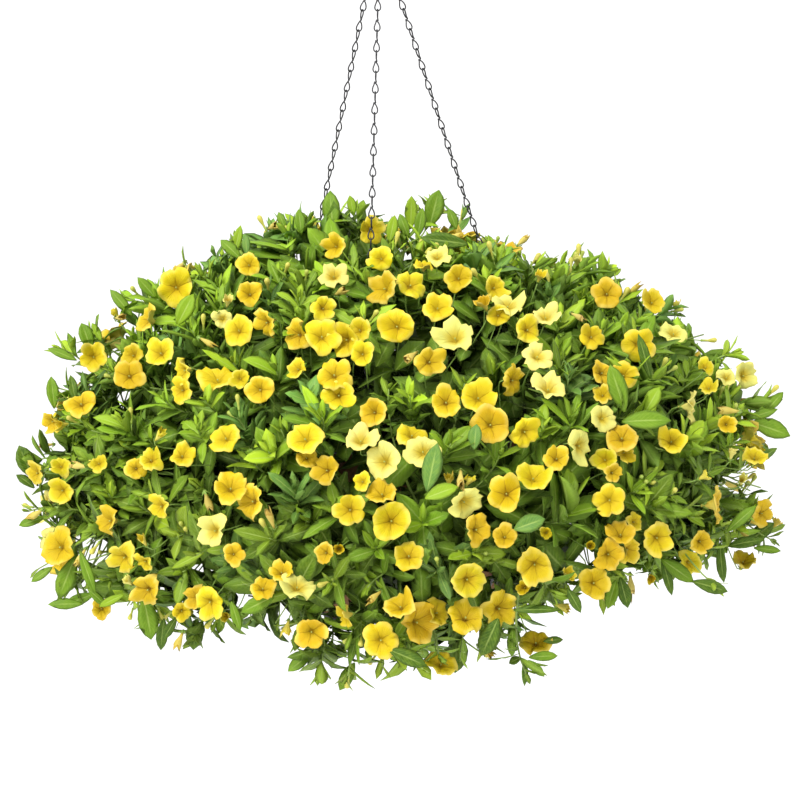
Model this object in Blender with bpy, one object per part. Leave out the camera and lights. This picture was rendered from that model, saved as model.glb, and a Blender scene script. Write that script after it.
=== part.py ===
"""Calibrachoa hanging basket: a hook, three chains and a lined wire basket of soil with three plants.

Metres, +Z up. The origin is the inside of the hook's bend, which takes the weight. The front is -Y.
Azimuths are measured from the front, and grow towards +X.
"""

import math

import bmesh
import bpy
import numpy as np

# Heights, from the inside of the hook's bend downwards
CHAIN_TOP_DROP = 0.060
CHAIN_RISE = 0.430
RIM_DROP = CHAIN_TOP_DROP + CHAIN_RISE

# Wire basket
RIM_RADIUS = 0.140
RIM_WIRE = 0.0025
RIB_WIRE = 0.0015
BASKET_DEPTH = 0.165
BASE_RADIUS = 0.075
BASKET_SIDES = 24
RIB_COUNT = 8
RIB_SHARES = (0.0, 0.5, 0.85, 1.0)
GAP = 0.0003

# Coco fibre liner and the soil in it
LINER_WALL = 0.008
LINER_TOP = 0.002
SOIL_BELOW_RIM = 0.020
CROWN_RADIUS = 0.0055
CROWN_CIRCLE = 0.065
CROWN_HOLE_DEPTH = 0.030
CROWN_TOP = 0.050

# Hook
HOOK_WIRE = 0.0015
HOOK_BEND = 0.013
# Degrees round the bend, from the open tip over the top to where the shank leaves it
BEND_DEGREES = (205, 180, 150, 120, 90, 60, 30, 0, -25)
# x and height of the shank, from the bend back under it
SHANK = ((0.0085, -0.0265), (0.0020, -0.0325), (0.0, -0.0380))
EYE_RADIUS = 0.009
EYE_SIDES = 12

# Chains: the azimuth where each meets the rim, and how far from the eye's lowest point it hangs
CHAIN_AZIMUTHS = {"chain_front": -10.5, "chain_right": 109.5, "chain_left": -130.5}
EYE_OFFSETS = {"chain_front": 0.0, "chain_right": 0.004, "chain_left": -0.004}
LINK_COUNT = 24
LINK_WIRE = 0.0009
LINK_WIDTH = 0.0062
END_RING_WIDTH = 0.0090
LINK_SHOULDER = 0.45
KNOT_RISE = 0.0008
KNOT_WIDTH = 0.0022

# Canopy: how far the mass of leaves reaches, before the tips that stand out of it
CANOPY_MIDDLE = -0.050
CANOPY_RADIUS = 0.3225
# Waves of that radius round the plants: how many, the azimuth of the first crest times that, and height
CANOPY_WAVES = ((1, 63.4, 0.0112), (2, 180.0, 0.0125), (3, 32.7, 0.006), (5, -24.6, 0.004))
CANOPY_RISE = 0.250
RISE_LEAN = -0.012
CANOPY_DROP = 0.097
DROP_LEAN = 0.008
DOME_POWER = 1.18
SKIRT_POWER = 0.3
# Lobes of the skirt: azimuth, half width in degrees, and how much lower it hangs there
SKIRT_LOBES = (
    (3.0, 24.0, 0.036), (52.0, 20.0, -0.024), (-62.0, 22.0, 0.014),
    (150.0, 26.0, 0.016), (-148.0, 28.0, 0.018),
)

# The rough inner mass of each plant
CORE_INSET = 0.030
CORE_TOP = 0.165
CORE_RELIEF = (0.008, 0.022)
CORE_COLUMNS = 7
CORE_TURNS = (24.0, 44.0, 62.0, 80.0, 102.0, 128.0, 155.0)
CORE_BEND = 4.0
# Radius and height of the core's inner side, round the basket and over its rim
CORE_INSIDE = ((0.162, -0.105), (0.160, -0.030), (0.152, 0.012))
SECTOR_HALF_ANGLE = 60.0
PLANTS = {"plant_right": "chain_front", "plant_left": "chain_left", "plant_back": "chain_right"}
PLANT_CLEAR = 0.0008

# Room round each chain, and how near a bloom or leaf is to a chain before it is bent clear of it
CHAIN_CLEAR = 0.0062
CHAIN_CHANNEL = 0.0070
CHANNEL_LENGTH = 0.30
NEAR_CHAIN = 0.045
BEND_REACH = 0.012

# The view in which the blooms below were read, 800 pixels square
VIEW_DISTANCE = 2.6
VIEW_RISE = math.radians(8.0)
VIEW_ROLL = math.radians(1.7)
VIEW_METRES_PER_PIXEL = 0.00091
VIEW_CENTRE = (0.0064, 0.0, 0.0246)
VIEW_MIDDLE_PIXEL = 400.0

SEED = 11
ROOT_DEPTH = 0.012
STALK_RADIUS = 0.0024

# Blooms: radius, and the depths of the throat and of the funnel's neck as shares of the radius
HIDDEN_BLOOMS = 112
BLOOM_RADIUS = (0.008, 0.0175)
HIDDEN_BLOOM_RADIUS = (0.012, 0.0172)
BLOOM_THROAT = 0.35
BLOOM_NECK = 0.95

# Leafy shoot tips: their leaves' length, and how far each leaf rises, low and high ones by turns
WHORL_COUNT = 70
WHORL_SUNK = (0.004, 0.014)
LEAVES_A_WHORL = 6
LEAF_LENGTH = (0.032, 0.040)
LEAF_LIFTS = (0.12, 0.55)
LEAF_FOOT = 0.30
WHORL_HUB = 0.003
WHORL_NECK = 0.008
TIP_SCALE = 0.85
TIP_INSET = 0.65

# Blooms in front: x and y of the middle, width and height, in pixels of that view
BLOOMS_IN_FRONT = (
    (375, 227, 28, 28), (334, 246, 22, 25), (333, 274, 29, 20), (380, 258, 23, 26),
    (381, 287, 34, 36), (248, 264, 25, 25), (250, 293, 25, 25), (175, 287, 36, 37),
    (228, 301, 13, 13), (324, 308, 25, 22), (146, 318, 23, 28), (116, 315, 12, 12),
    (238, 329, 31, 28), (263, 324, 19, 31), (222, 318, 20, 20), (296, 335, 23, 28),
    (322, 335, 36, 32), (344, 340, 20, 30), (358, 329, 23, 26), (362, 354, 26, 26),
    (93, 357, 28, 28), (131, 355, 23, 26), (128, 375, 33, 31), (159, 352, 26, 31),
    (181, 371, 26, 28), (180, 390, 15, 23), (296, 368, 13, 20), (334, 373, 36, 33),
    (339, 394, 31, 31), (217, 376, 33, 26), (240, 378, 18, 18), (259, 390, 28, 29),
    (412, 283, 28, 33), (437, 255, 24, 22), (424, 264, 20, 12), (459, 277, 29, 29),
    (438, 306, 31, 24), (496, 287, 24, 26), (509, 303, 33, 22), (498, 315, 22, 24),
    (484, 304, 12, 16), (546, 315, 28, 19), (529, 329, 26, 28), (454, 335, 40, 33),
    (431, 361, 27, 31), (396, 326, 33, 33), (373, 412, 26, 28), (539, 354, 33, 29),
    (549, 386, 36, 24), (516, 381, 20, 26), (479, 396, 37, 33), (446, 401, 33, 33),
    (491, 424, 38, 38), (527, 433, 28, 32), (592, 336, 26, 26), (361, 438, 34, 24),
    (303, 437, 38, 36), (306, 457, 22, 18), (224, 436, 33, 23), (413, 433, 31, 28),
    (422, 450, 36, 33), (382, 461, 29, 38), (534, 476, 36, 29), (557, 457, 25, 28),
    (583, 447, 15, 36), (325, 470, 23, 26), (607, 293, 29, 28), (653, 301, 26, 24),
    (676, 306, 12, 12), (639, 344, 32, 34), (674, 331, 29, 19), (540, 276, 12, 12),
    (577, 261, 12, 10), (604, 372, 20, 28), (624, 375, 28, 28), (602, 394, 18, 16),
    (706, 366, 20, 18), (727, 376, 23, 20), (746, 375, 23, 28), (709, 386, 20, 12),
    (695, 407, 19, 33), (727, 424, 20, 20), (672, 440, 28, 27), (604, 418, 26, 27),
    (622, 436, 33, 26), (626, 452, 20, 23), (604, 459, 27, 25), (614, 473, 15, 18),
    (755, 455, 28, 14), (732, 453, 9, 9), (80, 402, 31, 24), (50, 423, 20, 23),
    (62, 425, 10, 12), (34, 473, 20, 23), (60, 465, 18, 14), (60, 491, 23, 27),
    (98, 462, 18, 14), (135, 468, 20, 18), (150, 458, 22, 16), (159, 436, 12, 10),
    (182, 454, 26, 23), (231, 486, 37, 34), (249, 501, 20, 31), (106, 521, 20, 31),
    (158, 507, 15, 28), (59, 546, 37, 32), (121, 560, 31, 33), (145, 592, 29, 33),
    (143, 563, 14, 20), (128, 581, 12, 12), (101, 610, 20, 18), (182, 612, 20, 20),
    (194, 598, 18, 22), (208, 604, 33, 33), (226, 616, 12, 10), (212, 531, 25, 33),
    (233, 554, 22, 22), (143, 540, 9, 12), (263, 586, 26, 16), (281, 570, 26, 16),
    (298, 584, 38, 37), (311, 633, 31, 33), (287, 628, 14, 14), (324, 553, 20, 22),
    (339, 549, 16, 16), (349, 510, 32, 33), (361, 481, 16, 18), (381, 491, 33, 23),
    (392, 521, 39, 37), (381, 641, 37, 37), (343, 616, 14, 22), (409, 554, 32, 26),
    (399, 604, 33, 19), (421, 623, 33, 38), (440, 612, 18, 26), (467, 614, 40, 24),
    (469, 581, 33, 37), (502, 610, 23, 32), (442, 662, 28, 12), (467, 504, 33, 37),
    (506, 493, 36, 34), (479, 530, 28, 33), (505, 536, 26, 26), (535, 567, 37, 37),
    (524, 588, 16, 14), (539, 642, 31, 23), (449, 480, 12, 14), (470, 480, 12, 12),
    (546, 533, 12, 12), (610, 500, 33, 33), (659, 539, 32, 33), (621, 532, 31, 23),
    (610, 555, 28, 31), (630, 551, 23, 28), (636, 522, 14, 18), (595, 583, 34, 31),
    (590, 546, 10, 10), (568, 575, 16, 12), (691, 564, 23, 26), (702, 542, 18, 20),
    (720, 504, 18, 36), (765, 514, 20, 28), (777, 522, 10, 14), (744, 559, 28, 13),
    (742, 481, 10, 12), (705, 476, 10, 9), (563, 607, 16, 8), (651, 578, 10, 8),
)

# Shoot tips that stand out of the outline: x and y, in pixels of that view
TIPS_ON_OUTLINE = (
    (331, 206), (411, 208), (436, 202), (464, 214), (356, 209), (288, 224), (234, 238), (181, 262),
    (123, 296), (86, 332), (58, 348), (56, 388), (28, 462), (26, 512), (36, 570), (62, 596),
    (84, 540), (150, 628), (192, 640), (318, 676), (346, 684), (440, 662), (527, 676), (490, 642),
    (556, 600), (716, 586), (776, 542), (768, 430), (772, 402), (736, 352), (706, 334), (676, 306),
    (610, 270), (586, 264), (540, 262), (508, 244), (648, 420),
)


def unit(v):
    """Vectors of length one, along the last axis."""
    return v / np.maximum(np.linalg.norm(v, axis=-1, keepdims=True), 1e-12)


def around(azimuth_deg):
    """Level direction at an azimuth, with 0 at the front and +90 at +X."""
    a = np.radians(azimuth_deg)
    return np.stack([np.sin(a), -np.cos(a), np.zeros_like(a)], axis=-1)


def azimuth_of(p):
    return np.degrees(np.arctan2(p[..., 0], -p[..., 1]))


def canopy_reach(azimuth_deg):
    """Widest radius of the canopy, its height above the middle and its depth below, at an azimuth."""
    a = np.radians(azimuth_deg)
    radius = CANOPY_RADIUS + 0.0 * a
    for times, crest, height in CANOPY_WAVES:
        radius = radius + height * np.cos(times * a - math.radians(crest))
    rise = CANOPY_RISE + RISE_LEAN * np.sin(a)
    drop = CANOPY_DROP + DROP_LEAN * np.cos(a)
    for azimuth, half_width, lower in SKIRT_LOBES:
        off = (np.asarray(azimuth_deg, float) - azimuth + 180.0) % 360.0 - 180.0
        drop = drop + lower * np.exp(-((off / half_width) ** 2))
    return radius, rise, drop


def canopy_radius(radius, share):
    """Radius at a height given as a share of the rise, or below zero of the drop: two rounded curves."""
    s = np.sqrt(np.maximum(1.0 - share * share, 1e-12))
    return radius * np.where(share > 0, s ** DOME_POWER, s ** SKIRT_POWER)


def canopy_point(azimuth_deg, turn):
    """Point of the canopy's surface, from a turn of 0 at the top, past 90 at its widest, to 172 below."""
    radius, rise, drop = canopy_reach(azimuth_deg)
    c = np.cos(np.radians(turn))
    r = canopy_radius(radius, c)
    z = CANOPY_MIDDLE + np.where(c > 0, rise, drop) * c
    return around(azimuth_deg) * r[..., None] + np.stack([0 * z, 0 * z, z], axis=-1)


def canopy_normal(azimuth_deg, turn):
    """Outward normal, from the surface's own slopes."""
    step = 0.5
    turn = np.clip(turn, 1.5, 171.0)
    down = canopy_point(azimuth_deg, turn + step) - canopy_point(azimuth_deg, turn - step)
    side = canopy_point(azimuth_deg + step, turn) - canopy_point(azimuth_deg - step, turn)
    return unit(np.cross(down, side))


def canopy_depth(p):
    """How far a point lies inside the canopy, level with it; below zero outside."""
    radius, rise, drop = canopy_reach(azimuth_of(p))
    z = p[..., 2] - CANOPY_MIDDLE
    share = np.where(z > 0, z / rise, z / drop)
    r = canopy_radius(radius, np.clip(share, -1.0, 1.0))
    return np.where(np.abs(share) < 1.0, r, -np.abs(z)) - np.hypot(p[..., 0], p[..., 1])


def turn_of(p):
    _, rise, drop = canopy_reach(azimuth_of(p))
    z = p[..., 2] - CANOPY_MIDDLE
    return np.degrees(np.arccos(np.clip(np.where(z > 0, z / rise, z / drop), -0.985, 0.999)))


def view_axes():
    """The view's forward, right and up directions."""
    forward = np.array([0.0, math.cos(VIEW_RISE), -math.sin(VIEW_RISE)])
    level = np.array([1.0, 0.0, 0.0])
    upright = np.array([0.0, math.sin(VIEW_RISE), math.cos(VIEW_RISE)])
    right = level * math.cos(VIEW_ROLL) - upright * math.sin(VIEW_ROLL)
    up = level * math.sin(VIEW_ROLL) + upright * math.cos(VIEW_ROLL)
    return forward, right, up


def seen_point(x, y):
    """Where the line of sight through a pixel first meets the canopy, or comes nearest to it."""
    forward, right, up = view_axes()
    focal = VIEW_DISTANCE / VIEW_METRES_PER_PIXEL
    eye = np.array(VIEW_CENTRE) - forward * VIEW_DISTANCE
    sight = forward + right * (x - VIEW_MIDDLE_PIXEL) / focal + up * (VIEW_MIDDLE_PIXEL - y) / focal
    reach = np.linspace(VIEW_DISTANCE - 0.45, VIEW_DISTANCE + 0.45, 901)
    line = eye + sight * reach[:, None]
    depth = canopy_depth(line)
    inside = depth > 0
    first = int(np.argmax(inside)) if inside.any() else int(np.argmax(depth))
    return line[first]


def mesh_object(name, points, faces, materials, face_materials=None):
    mesh = bpy.data.meshes.new(name)
    mesh.from_pydata([tuple(map(float, p)) for p in points], [], faces)
    for material in materials:
        mesh.materials.append(material)
    if face_materials is not None:
        mesh.polygons.foreach_set("material_index", face_materials)
    made = bpy.data.objects.new(name, mesh)
    bpy.context.scene.collection.objects.link(made)
    return made


def principled(name, colour, roughness, metallic=0.0):
    material = bpy.data.materials.new(name)
    material.use_nodes = True
    shader = material.node_tree.nodes["Principled BSDF"]
    shader.inputs["Base Color"].default_value = (*colour, 1.0)
    shader.inputs["Roughness"].default_value = roughness
    shader.inputs["Metallic"].default_value = metallic
    material.diffuse_color = (*colour, 1.0)
    return material


def facing_out(made):
    """Turns the faces of a closed mesh outwards."""
    work = bmesh.new()
    work.from_mesh(made.data)
    bmesh.ops.recalc_face_normals(work, faces=work.faces)
    work.to_mesh(made.data)
    work.free()
    return made


def fuse(base, repeats, solver="EXACT"):
    """Joins repeats to base with one union on a collection, and keeps the largest body."""
    group = bpy.data.collections.new(base.name + "_repeats")
    bpy.context.scene.collection.children.link(group)
    for piece in repeats:
        bpy.context.scene.collection.objects.unlink(piece)
        group.objects.link(piece)
    union = base.modifiers.new("union", "BOOLEAN")
    union.operation = "UNION"
    union.operand_type = "COLLECTION"
    union.collection = group
    union.solver = solver
    graph = bpy.context.evaluated_depsgraph_get()
    joined = bpy.data.meshes.new_from_object(base.evaluated_get(graph))
    base.modifiers.clear()
    base.data = joined
    for piece in list(group.objects):
        bpy.data.objects.remove(piece)
    bpy.data.collections.remove(group)
    keep_largest_body(joined)
    return base


def keep_largest_body(mesh):
    """Removes every body but the largest. Faces that share an edge of just two faces are in one body."""
    work = bmesh.new()
    work.from_mesh(mesh)
    left = set(work.faces)
    bodies = []
    while left:
        front = [left.pop()]
        body = set(front)
        while front:
            face = front.pop()
            for edge in face.edges:
                if len(edge.link_faces) != 2:
                    continue
                for other in edge.link_faces:
                    if other not in body:
                        body.add(other)
                        front.append(other)
        left -= body
        bodies.append(body)
    bodies.sort(key=len)
    for scrap in bodies[:-1]:
        bmesh.ops.delete(work, geom=list(scrap), context="FACES")
    bmesh.ops.triangulate(work, faces=work.faces)
    work.to_mesh(mesh)
    work.free()


def ring_faces(rings, sides, close_path):
    """Quads between rings of points, with end caps where the path isn't closed."""
    faces = []
    for i in range(rings if close_path else rings - 1):
        j = (i + 1) % rings
        for k in range(sides):
            m = (k + 1) % sides
            faces.append((i * sides + k, i * sides + m, j * sides + m, j * sides + k))
    if not close_path:
        faces.append(tuple(range(sides - 1, -1, -1)))
        faces.append(tuple((rings - 1) * sides + k for k in range(sides)))
    return faces


def wire_object(name, path, wire, sides, normal, material, close_path):
    """A wire of few sides bent along a flat path whose plane has the given normal."""
    path = np.asarray(path, float)
    ahead = np.roll(path, -1, axis=0) - path
    behind = path - np.roll(path, 1, axis=0)
    if not close_path:
        ahead[-1] = behind[-1]
        behind[0] = ahead[0]
    along = unit(unit(ahead) + unit(behind))
    stretch = 1.0 / np.sqrt(np.maximum((1.0 + np.sum(unit(ahead) * unit(behind), axis=1)) / 2.0, 0.2))
    across = np.cross(along, normal)
    turn = np.arange(sides) * 2.0 * math.pi / sides + math.pi / sides
    points = []
    for centre, out, wide in zip(path, across, stretch):
        for t in turn:
            points.append(centre + wire * (math.cos(t) * wide * out + math.sin(t) * np.asarray(normal)))
    faces = ring_faces(len(path), sides, close_path)
    return facing_out(mesh_object(name, points, faces, [material]))


def turned_object(name, profile, material):
    """A profile of (radius, height) points turned about the axis, closed where it meets the axis."""
    points = []
    rows = []
    for radius, height in profile:
        if radius < 1e-6:
            rows.append([len(points)] * BASKET_SIDES)
            points.append((0.0, 0.0, height))
            continue
        rows.append([len(points) + k for k in range(BASKET_SIDES)])
        for k in range(BASKET_SIDES):
            turn = 2.0 * math.pi * k / BASKET_SIDES
            points.append((radius * math.cos(turn), radius * math.sin(turn), height))
    faces = []
    for upper, lower in zip(rows, rows[1:]):
        for k in range(BASKET_SIDES):
            m = (k + 1) % BASKET_SIDES
            corners = []
            for corner in (upper[k], upper[m], lower[m], lower[k]):
                if corner not in corners:
                    corners.append(corner)
            if len(corners) > 2:
                faces.append(tuple(corners))
    return facing_out(mesh_object(name, points, faces, [material]))


def bowl_radius(share):
    """Radius of the ribs' centre line, from 0 at the rim to 1 at the base hoop: a quarter of an ellipse."""
    return BASE_RADIUS + (RIM_RADIUS - BASE_RADIUS) * math.sqrt(1.0 - share ** 2.2)


def make_basket_frame(material):
    """Rim, two hoops and the ribs, welded into one frame."""
    up = (0.0, 0.0, 1.0)
    turns = [2.0 * math.pi * k / BASKET_SIDES for k in range(BASKET_SIDES)]

    def hoop(name, radius, height, wire, sides):
        path = [(radius * math.cos(t), radius * math.sin(t), height) for t in turns]
        return wire_object(name, path, wire, sides, up, material, True)

    rim = hoop("basket_frame", RIM_RADIUS, 0.0, RIM_WIRE, 6)
    parts = [
        hoop("middle_hoop", bowl_radius(0.5), -0.5 * BASKET_DEPTH, RIB_WIRE, 4),
        hoop("base_hoop", BASE_RADIUS, -BASKET_DEPTH, RIB_WIRE, 4),
    ]
    for k in range(RIB_COUNT):
        turn = 2.0 * math.pi * k / RIB_COUNT
        out = np.array([math.cos(turn), math.sin(turn), 0.0])
        side = np.array([-math.sin(turn), math.cos(turn), 0.0])
        path = [out * bowl_radius(s) + np.array([0.0, 0.0, -s * BASKET_DEPTH]) for s in RIB_SHARES]
        parts.append(wire_object("rib", path, RIB_WIRE, 4, side, material, False))
    return fuse(rim, parts)


def wall_radius(height):
    """Outside of the liner at a height: clear of the chains' end rings at the top, and of the ribs below."""
    heights = [-s * BASKET_DEPTH for s in RIB_SHARES[:0:-1]] + [LINER_TOP]
    radii = [bowl_radius(s) - RIB_WIRE * 1.5 - GAP * 2.0 for s in RIB_SHARES[:0:-1]]
    radii.append(RIM_RADIUS - END_RING_WIDTH / 2.0 - LINK_WIRE * 1.15 - GAP)
    return float(np.interp(height, heights, radii))


def wall_rows(inset, top, bottom):
    """(radius, height) down the wall, inside its outer face by inset."""
    heights = [top] + [-s * BASKET_DEPTH for s in RIB_SHARES[1:-1]] + [bottom]
    return [(wall_radius(h) - inset, h) for h in heights]


def make_liner(material):
    base = -BASKET_DEPTH + RIB_WIRE + GAP
    floor = base + LINER_WALL
    outer = wall_rows(0.0, LINER_TOP, base)
    inner = wall_rows(LINER_WALL, LINER_TOP, floor)
    profile = [(0.0, base)] + outer[::-1] + inner + [(0.0, floor)]
    return turned_object("liner", profile, material)


def crown_azimuth(first_chain):
    return first_chain + SECTOR_HALF_ANGLE


def make_soil(material, crowns):
    base = -BASKET_DEPTH + RIB_WIRE + GAP * 2.0 + LINER_WALL
    walls = wall_rows(LINER_WALL + GAP * 2.0, -SOIL_BELOW_RIM - 0.004, base)
    profile = [(0.0, -SOIL_BELOW_RIM), (0.085, -SOIL_BELOW_RIM)] + walls + [(0.0, base)]
    soil = turned_object("soil", profile, material)
    for index, crown in enumerate(crowns):
        bpy.ops.mesh.primitive_cylinder_add(vertices=8, radius=CROWN_RADIUS + GAP * 1.3, depth=0.2)
        cutter = bpy.context.object
        cutter.name = "crown_hole_%d" % index
        top = crown * CROWN_CIRCLE
        cutter.location = (top[0], top[1], -SOIL_BELOW_RIM - CROWN_HOLE_DEPTH + 0.1)
        cutter.hide_render = True
        cutter.display_type = "WIRE"
        hole = soil.modifiers.new("crown_hole_%d" % index, "BOOLEAN")
        hole.operation = "DIFFERENCE"
        hole.object = cutter
    return soil


def hook_path():
    """Over the bend from its open tip, then down in one curve to the eye."""
    centre = np.array([0.0, 0.0, -HOOK_BEND])
    radius = HOOK_BEND + HOOK_WIRE
    path = []
    for degrees in BEND_DEGREES:
        t = math.radians(degrees)
        path.append(centre + radius * np.array([math.cos(t), 0.0, math.sin(t)]))
    for x, height in SHANK:
        path.append(np.array([x, 0.0, height]))
    path.append(np.array([0.0, 0.0, -CHAIN_TOP_DROP + 2.0 * EYE_RADIUS]))
    return path


def make_hook(material):
    side = (0.0, 1.0, 0.0)
    hook = wire_object("hook", hook_path(), HOOK_WIRE, 6, side, material, False)
    centre = np.array([0.0, 0.0, -CHAIN_TOP_DROP + EYE_RADIUS])
    turns = [2.0 * math.pi * (k + 0.5) / EYE_SIDES for k in range(EYE_SIDES)]
    path = [centre + EYE_RADIUS * np.array([math.cos(t), 0.0, math.sin(t)]) for t in turns]
    eye = wire_object("eye", path, HOOK_WIRE, 6, side, material, True)
    return fuse(hook, [eye])


def corner_past(wire, width):
    """From a wire that a link hangs on to the link's end knot, with the gap at the link's two slopes."""
    inner = width / 2.0 - LINK_WIRE * 0.5
    slope = LINK_SHOULDER * width - KNOT_RISE
    return KNOT_RISE + (wire + GAP * 1.5) * math.hypot(inner, slope) / inner


def chain_spreads(along, first, last):
    """The way each link opens: a right angle on from the link above, with a slight even twist."""
    other = np.cross(along, first)
    end = math.degrees(math.atan2(np.dot(last, other), np.dot(last, first)))
    steps = LINK_COUNT - 1
    twist = ((end - 90.0 * steps + 90.0) % 180.0 - 90.0) / steps
    turns = [math.radians((90.0 + twist) * k) for k in range(LINK_COUNT)]
    return [first * math.cos(t) + other * math.sin(t) for t in turns]


def make_chain(name, azimuth_deg, eye_offset, material):
    """Six-cornered links from the hook's eye to the rim.

    Each opens at a right angle to the last, and is one with it at a knot.
    """
    slope = math.asin(eye_offset / EYE_RADIUS)
    top = np.array([eye_offset, 0.0, CHAIN_RISE + EYE_RADIUS * (1.0 - math.cos(slope))])
    out = around(azimuth_deg)
    bottom = out * RIM_RADIUS
    along = unit(top - bottom)
    eye_wire = np.array([math.cos(slope), 0.0, math.sin(slope)])
    first = unit(np.cross(eye_wire, along))
    last = unit(out - along * np.dot(out, along))
    spreads = chain_spreads(along, first, last)
    start = top + along * corner_past(HOOK_WIRE, LINK_WIDTH)
    end = bottom - along * corner_past(RIM_WIRE, END_RING_WIDTH)
    pitch = float(np.linalg.norm(start - end)) / LINK_COUNT
    points = []
    faces = []
    knots = []
    for k in range(LINK_COUNT + 1):
        centre = start - along * pitch * k
        below = spreads[k] if k < LINK_COUNT else np.cross(along, spreads[k - 1])
        above = spreads[k - 1] if k > 0 else np.cross(along, spreads[k])
        base = len(points)
        for axis, rise in ((above, -KNOT_RISE), (below, KNOT_RISE)):
            for sign in (1.0, -1.0):
                points.append(centre + axis * sign * KNOT_WIDTH / 2.0 + along * rise)
        knots.append(((base, base + 1), (base + 2, base + 3)))
    for k in range(LINK_COUNT):
        spread = spreads[k]
        width = END_RING_WIDTH if k == LINK_COUNT - 1 else LINK_WIDTH
        shoulder = LINK_SHOULDER * width
        cross = np.cross(along, spread)
        upper, lower = knots[k], knots[k + 1]
        for side, sign in ((0, 1.0), (1, -1.0)):
            rings = [(upper[1][side], upper[0][0], upper[0][1])]
            for drop in (shoulder, pitch - shoulder):
                centre = start - along * (pitch * k + drop) + spread * sign * width / 2.0
                base = len(points)
                points.append(centre + spread * sign * LINK_WIRE)
                towards = 1.0 if np.dot(points[rings[0][1]] - points[rings[0][2]], cross) > 0 else -1.0
                for edge in (towards, -towards):
                    points.append(centre - spread * sign * LINK_WIRE * 0.5 + cross * edge * LINK_WIRE * 0.87)
                rings.append((base, base + 1, base + 2))
            near, far = lower[1]
            if np.dot(points[near] - points[far], points[rings[-1][1]] - points[rings[-1][2]]) < 0:
                near, far = far, near
            rings.append((lower[0][side], near, far))
            for a, b in zip(rings, rings[1:]):
                for i in range(3):
                    j = (i + 1) % 3
                    faces.append((a[i], a[j], b[j], b[i]))
    (a, b), (c, d) = knots[0]
    faces += [(a, c, d), (b, d, c)]
    (a, b), (c, d) = knots[-1]
    faces += [(c, a, b), (d, b, a)]
    chain = mesh_object(name, points, faces, [material])
    return facing_out(chain)


def sector_planes(first_chain):
    """Inward normals of the two upright planes that bound a plant, which pass through two chains."""
    low = around(first_chain + 90.0)
    high = around(first_chain + 2.0 * SECTOR_HALF_ANGLE - 90.0)
    return low, high


def near_chain(p, first_chain):
    """Distance from a point to the nearer of the two chains that bound a plant."""
    best = 1.0
    for azimuth in (first_chain, first_chain + 2.0 * SECTOR_HALF_ANGLE):
        bottom = around(azimuth) * RIM_RADIUS
        top = np.array([0.0, 0.0, CHAIN_RISE])
        share = np.clip(np.dot(p - bottom, top - bottom) / np.dot(top - bottom, top - bottom), 0.0, 1.0)
        best = min(best, float(np.linalg.norm(p - bottom - share * (top - bottom))))
    return best


def bend_clear(points, first_chain):
    """Eases points near or past a plant's bounding planes inside, by a curve that never meets a plane."""
    points = np.array(points, float)
    clear = CHAIN_CLEAR if near_chain(points.mean(axis=0), first_chain) < NEAR_CHAIN else PLANT_CLEAR
    for normal in sector_planes(first_chain):
        inside = points @ normal - clear
        eased = BEND_REACH * np.exp((inside - BEND_REACH) / BEND_REACH)
        points = points + np.where(inside < BEND_REACH, eased - inside, 0.0)[:, None] * normal
    return points


def make_core(name, first_chain, materials, rng):
    """The plant's rough inner mass: a dome over the rim and a skirt outside the basket, inside the canopy.

    Its outside is a grid of low peaks. A channel round each chain is cut from its two flat sides.
    """
    middle_azimuth = crown_azimuth(first_chain)
    shift = around(middle_azimuth) * PLANT_CLEAR / math.sin(math.radians(SECTOR_HALF_ANGLE))
    azimuths = np.linspace(-SECTOR_HALF_ANGLE, SECTOR_HALF_ANGLE, CORE_COLUMNS + 1) + middle_azimuth
    turns = np.array(CORE_TURNS)
    rows = len(turns) + len(CORE_INSIDE)
    points = [shift + (0.0, 0.0, CORE_TOP), shift + (0.0, 0.0, CORE_INSIDE[-1][1])]
    for j, azimuth in enumerate(azimuths):
        inner_column = 0 < j < CORE_COLUMNS
        bent = azimuth + (rng.uniform(-CORE_BEND, CORE_BEND, len(turns)) if inner_column else 0.0 * turns)
        outer = canopy_point(bent, turns) - canopy_normal(bent, turns) * CORE_INSET
        for (x, y, height), way in zip(outer, bent):
            points.append(shift + around(way) * math.hypot(x, y) + (0.0, 0.0, height))
        for radius, height in CORE_INSIDE:
            points.append(shift + around(azimuth) * radius + (0.0, 0.0, height))
    faces = []
    for j in range(CORE_COLUMNS):
        a = 2 + j * rows
        b = a + rows
        faces.append((0, a, b))
        faces.append((a + rows - 1, 1, b + rows - 1))
        for k in range(rows - 1):
            cell = (a + k, a + k + 1, b + k + 1, b + k)
            if k >= len(turns) - 1:
                faces.append(cell)
                continue
            way = (azimuths[j] + azimuths[j + 1]) / 2.0
            normal = canopy_normal(np.array(way), np.array((turns[k] + turns[k + 1]) / 2.0))
            peak = sum(np.array(points[i]) for i in cell) / 4.0 + normal * rng.uniform(*CORE_RELIEF)
            points.append(peak)
            faces += [(cell[i], cell[(i + 1) % 4], len(points) - 1) for i in range(4)]
    first = [0] + [2 + k for k in range(rows)] + [1]
    last = [0] + [2 + CORE_COLUMNS * rows + k for k in range(rows)] + [1]
    faces.append(tuple(first[::-1]))
    faces.append(tuple(last))
    core = mesh_object(name, points, faces, materials)
    work = bmesh.new()
    work.from_mesh(core.data)
    bmesh.ops.triangulate(work, faces=work.faces)
    bmesh.ops.recalc_face_normals(work, faces=work.faces)
    work.to_mesh(core.data)
    work.free()
    for azimuth in (first_chain, first_chain + 2.0 * SECTOR_HALF_ANGLE):
        cut_channel(core, azimuth)
    return core


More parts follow.
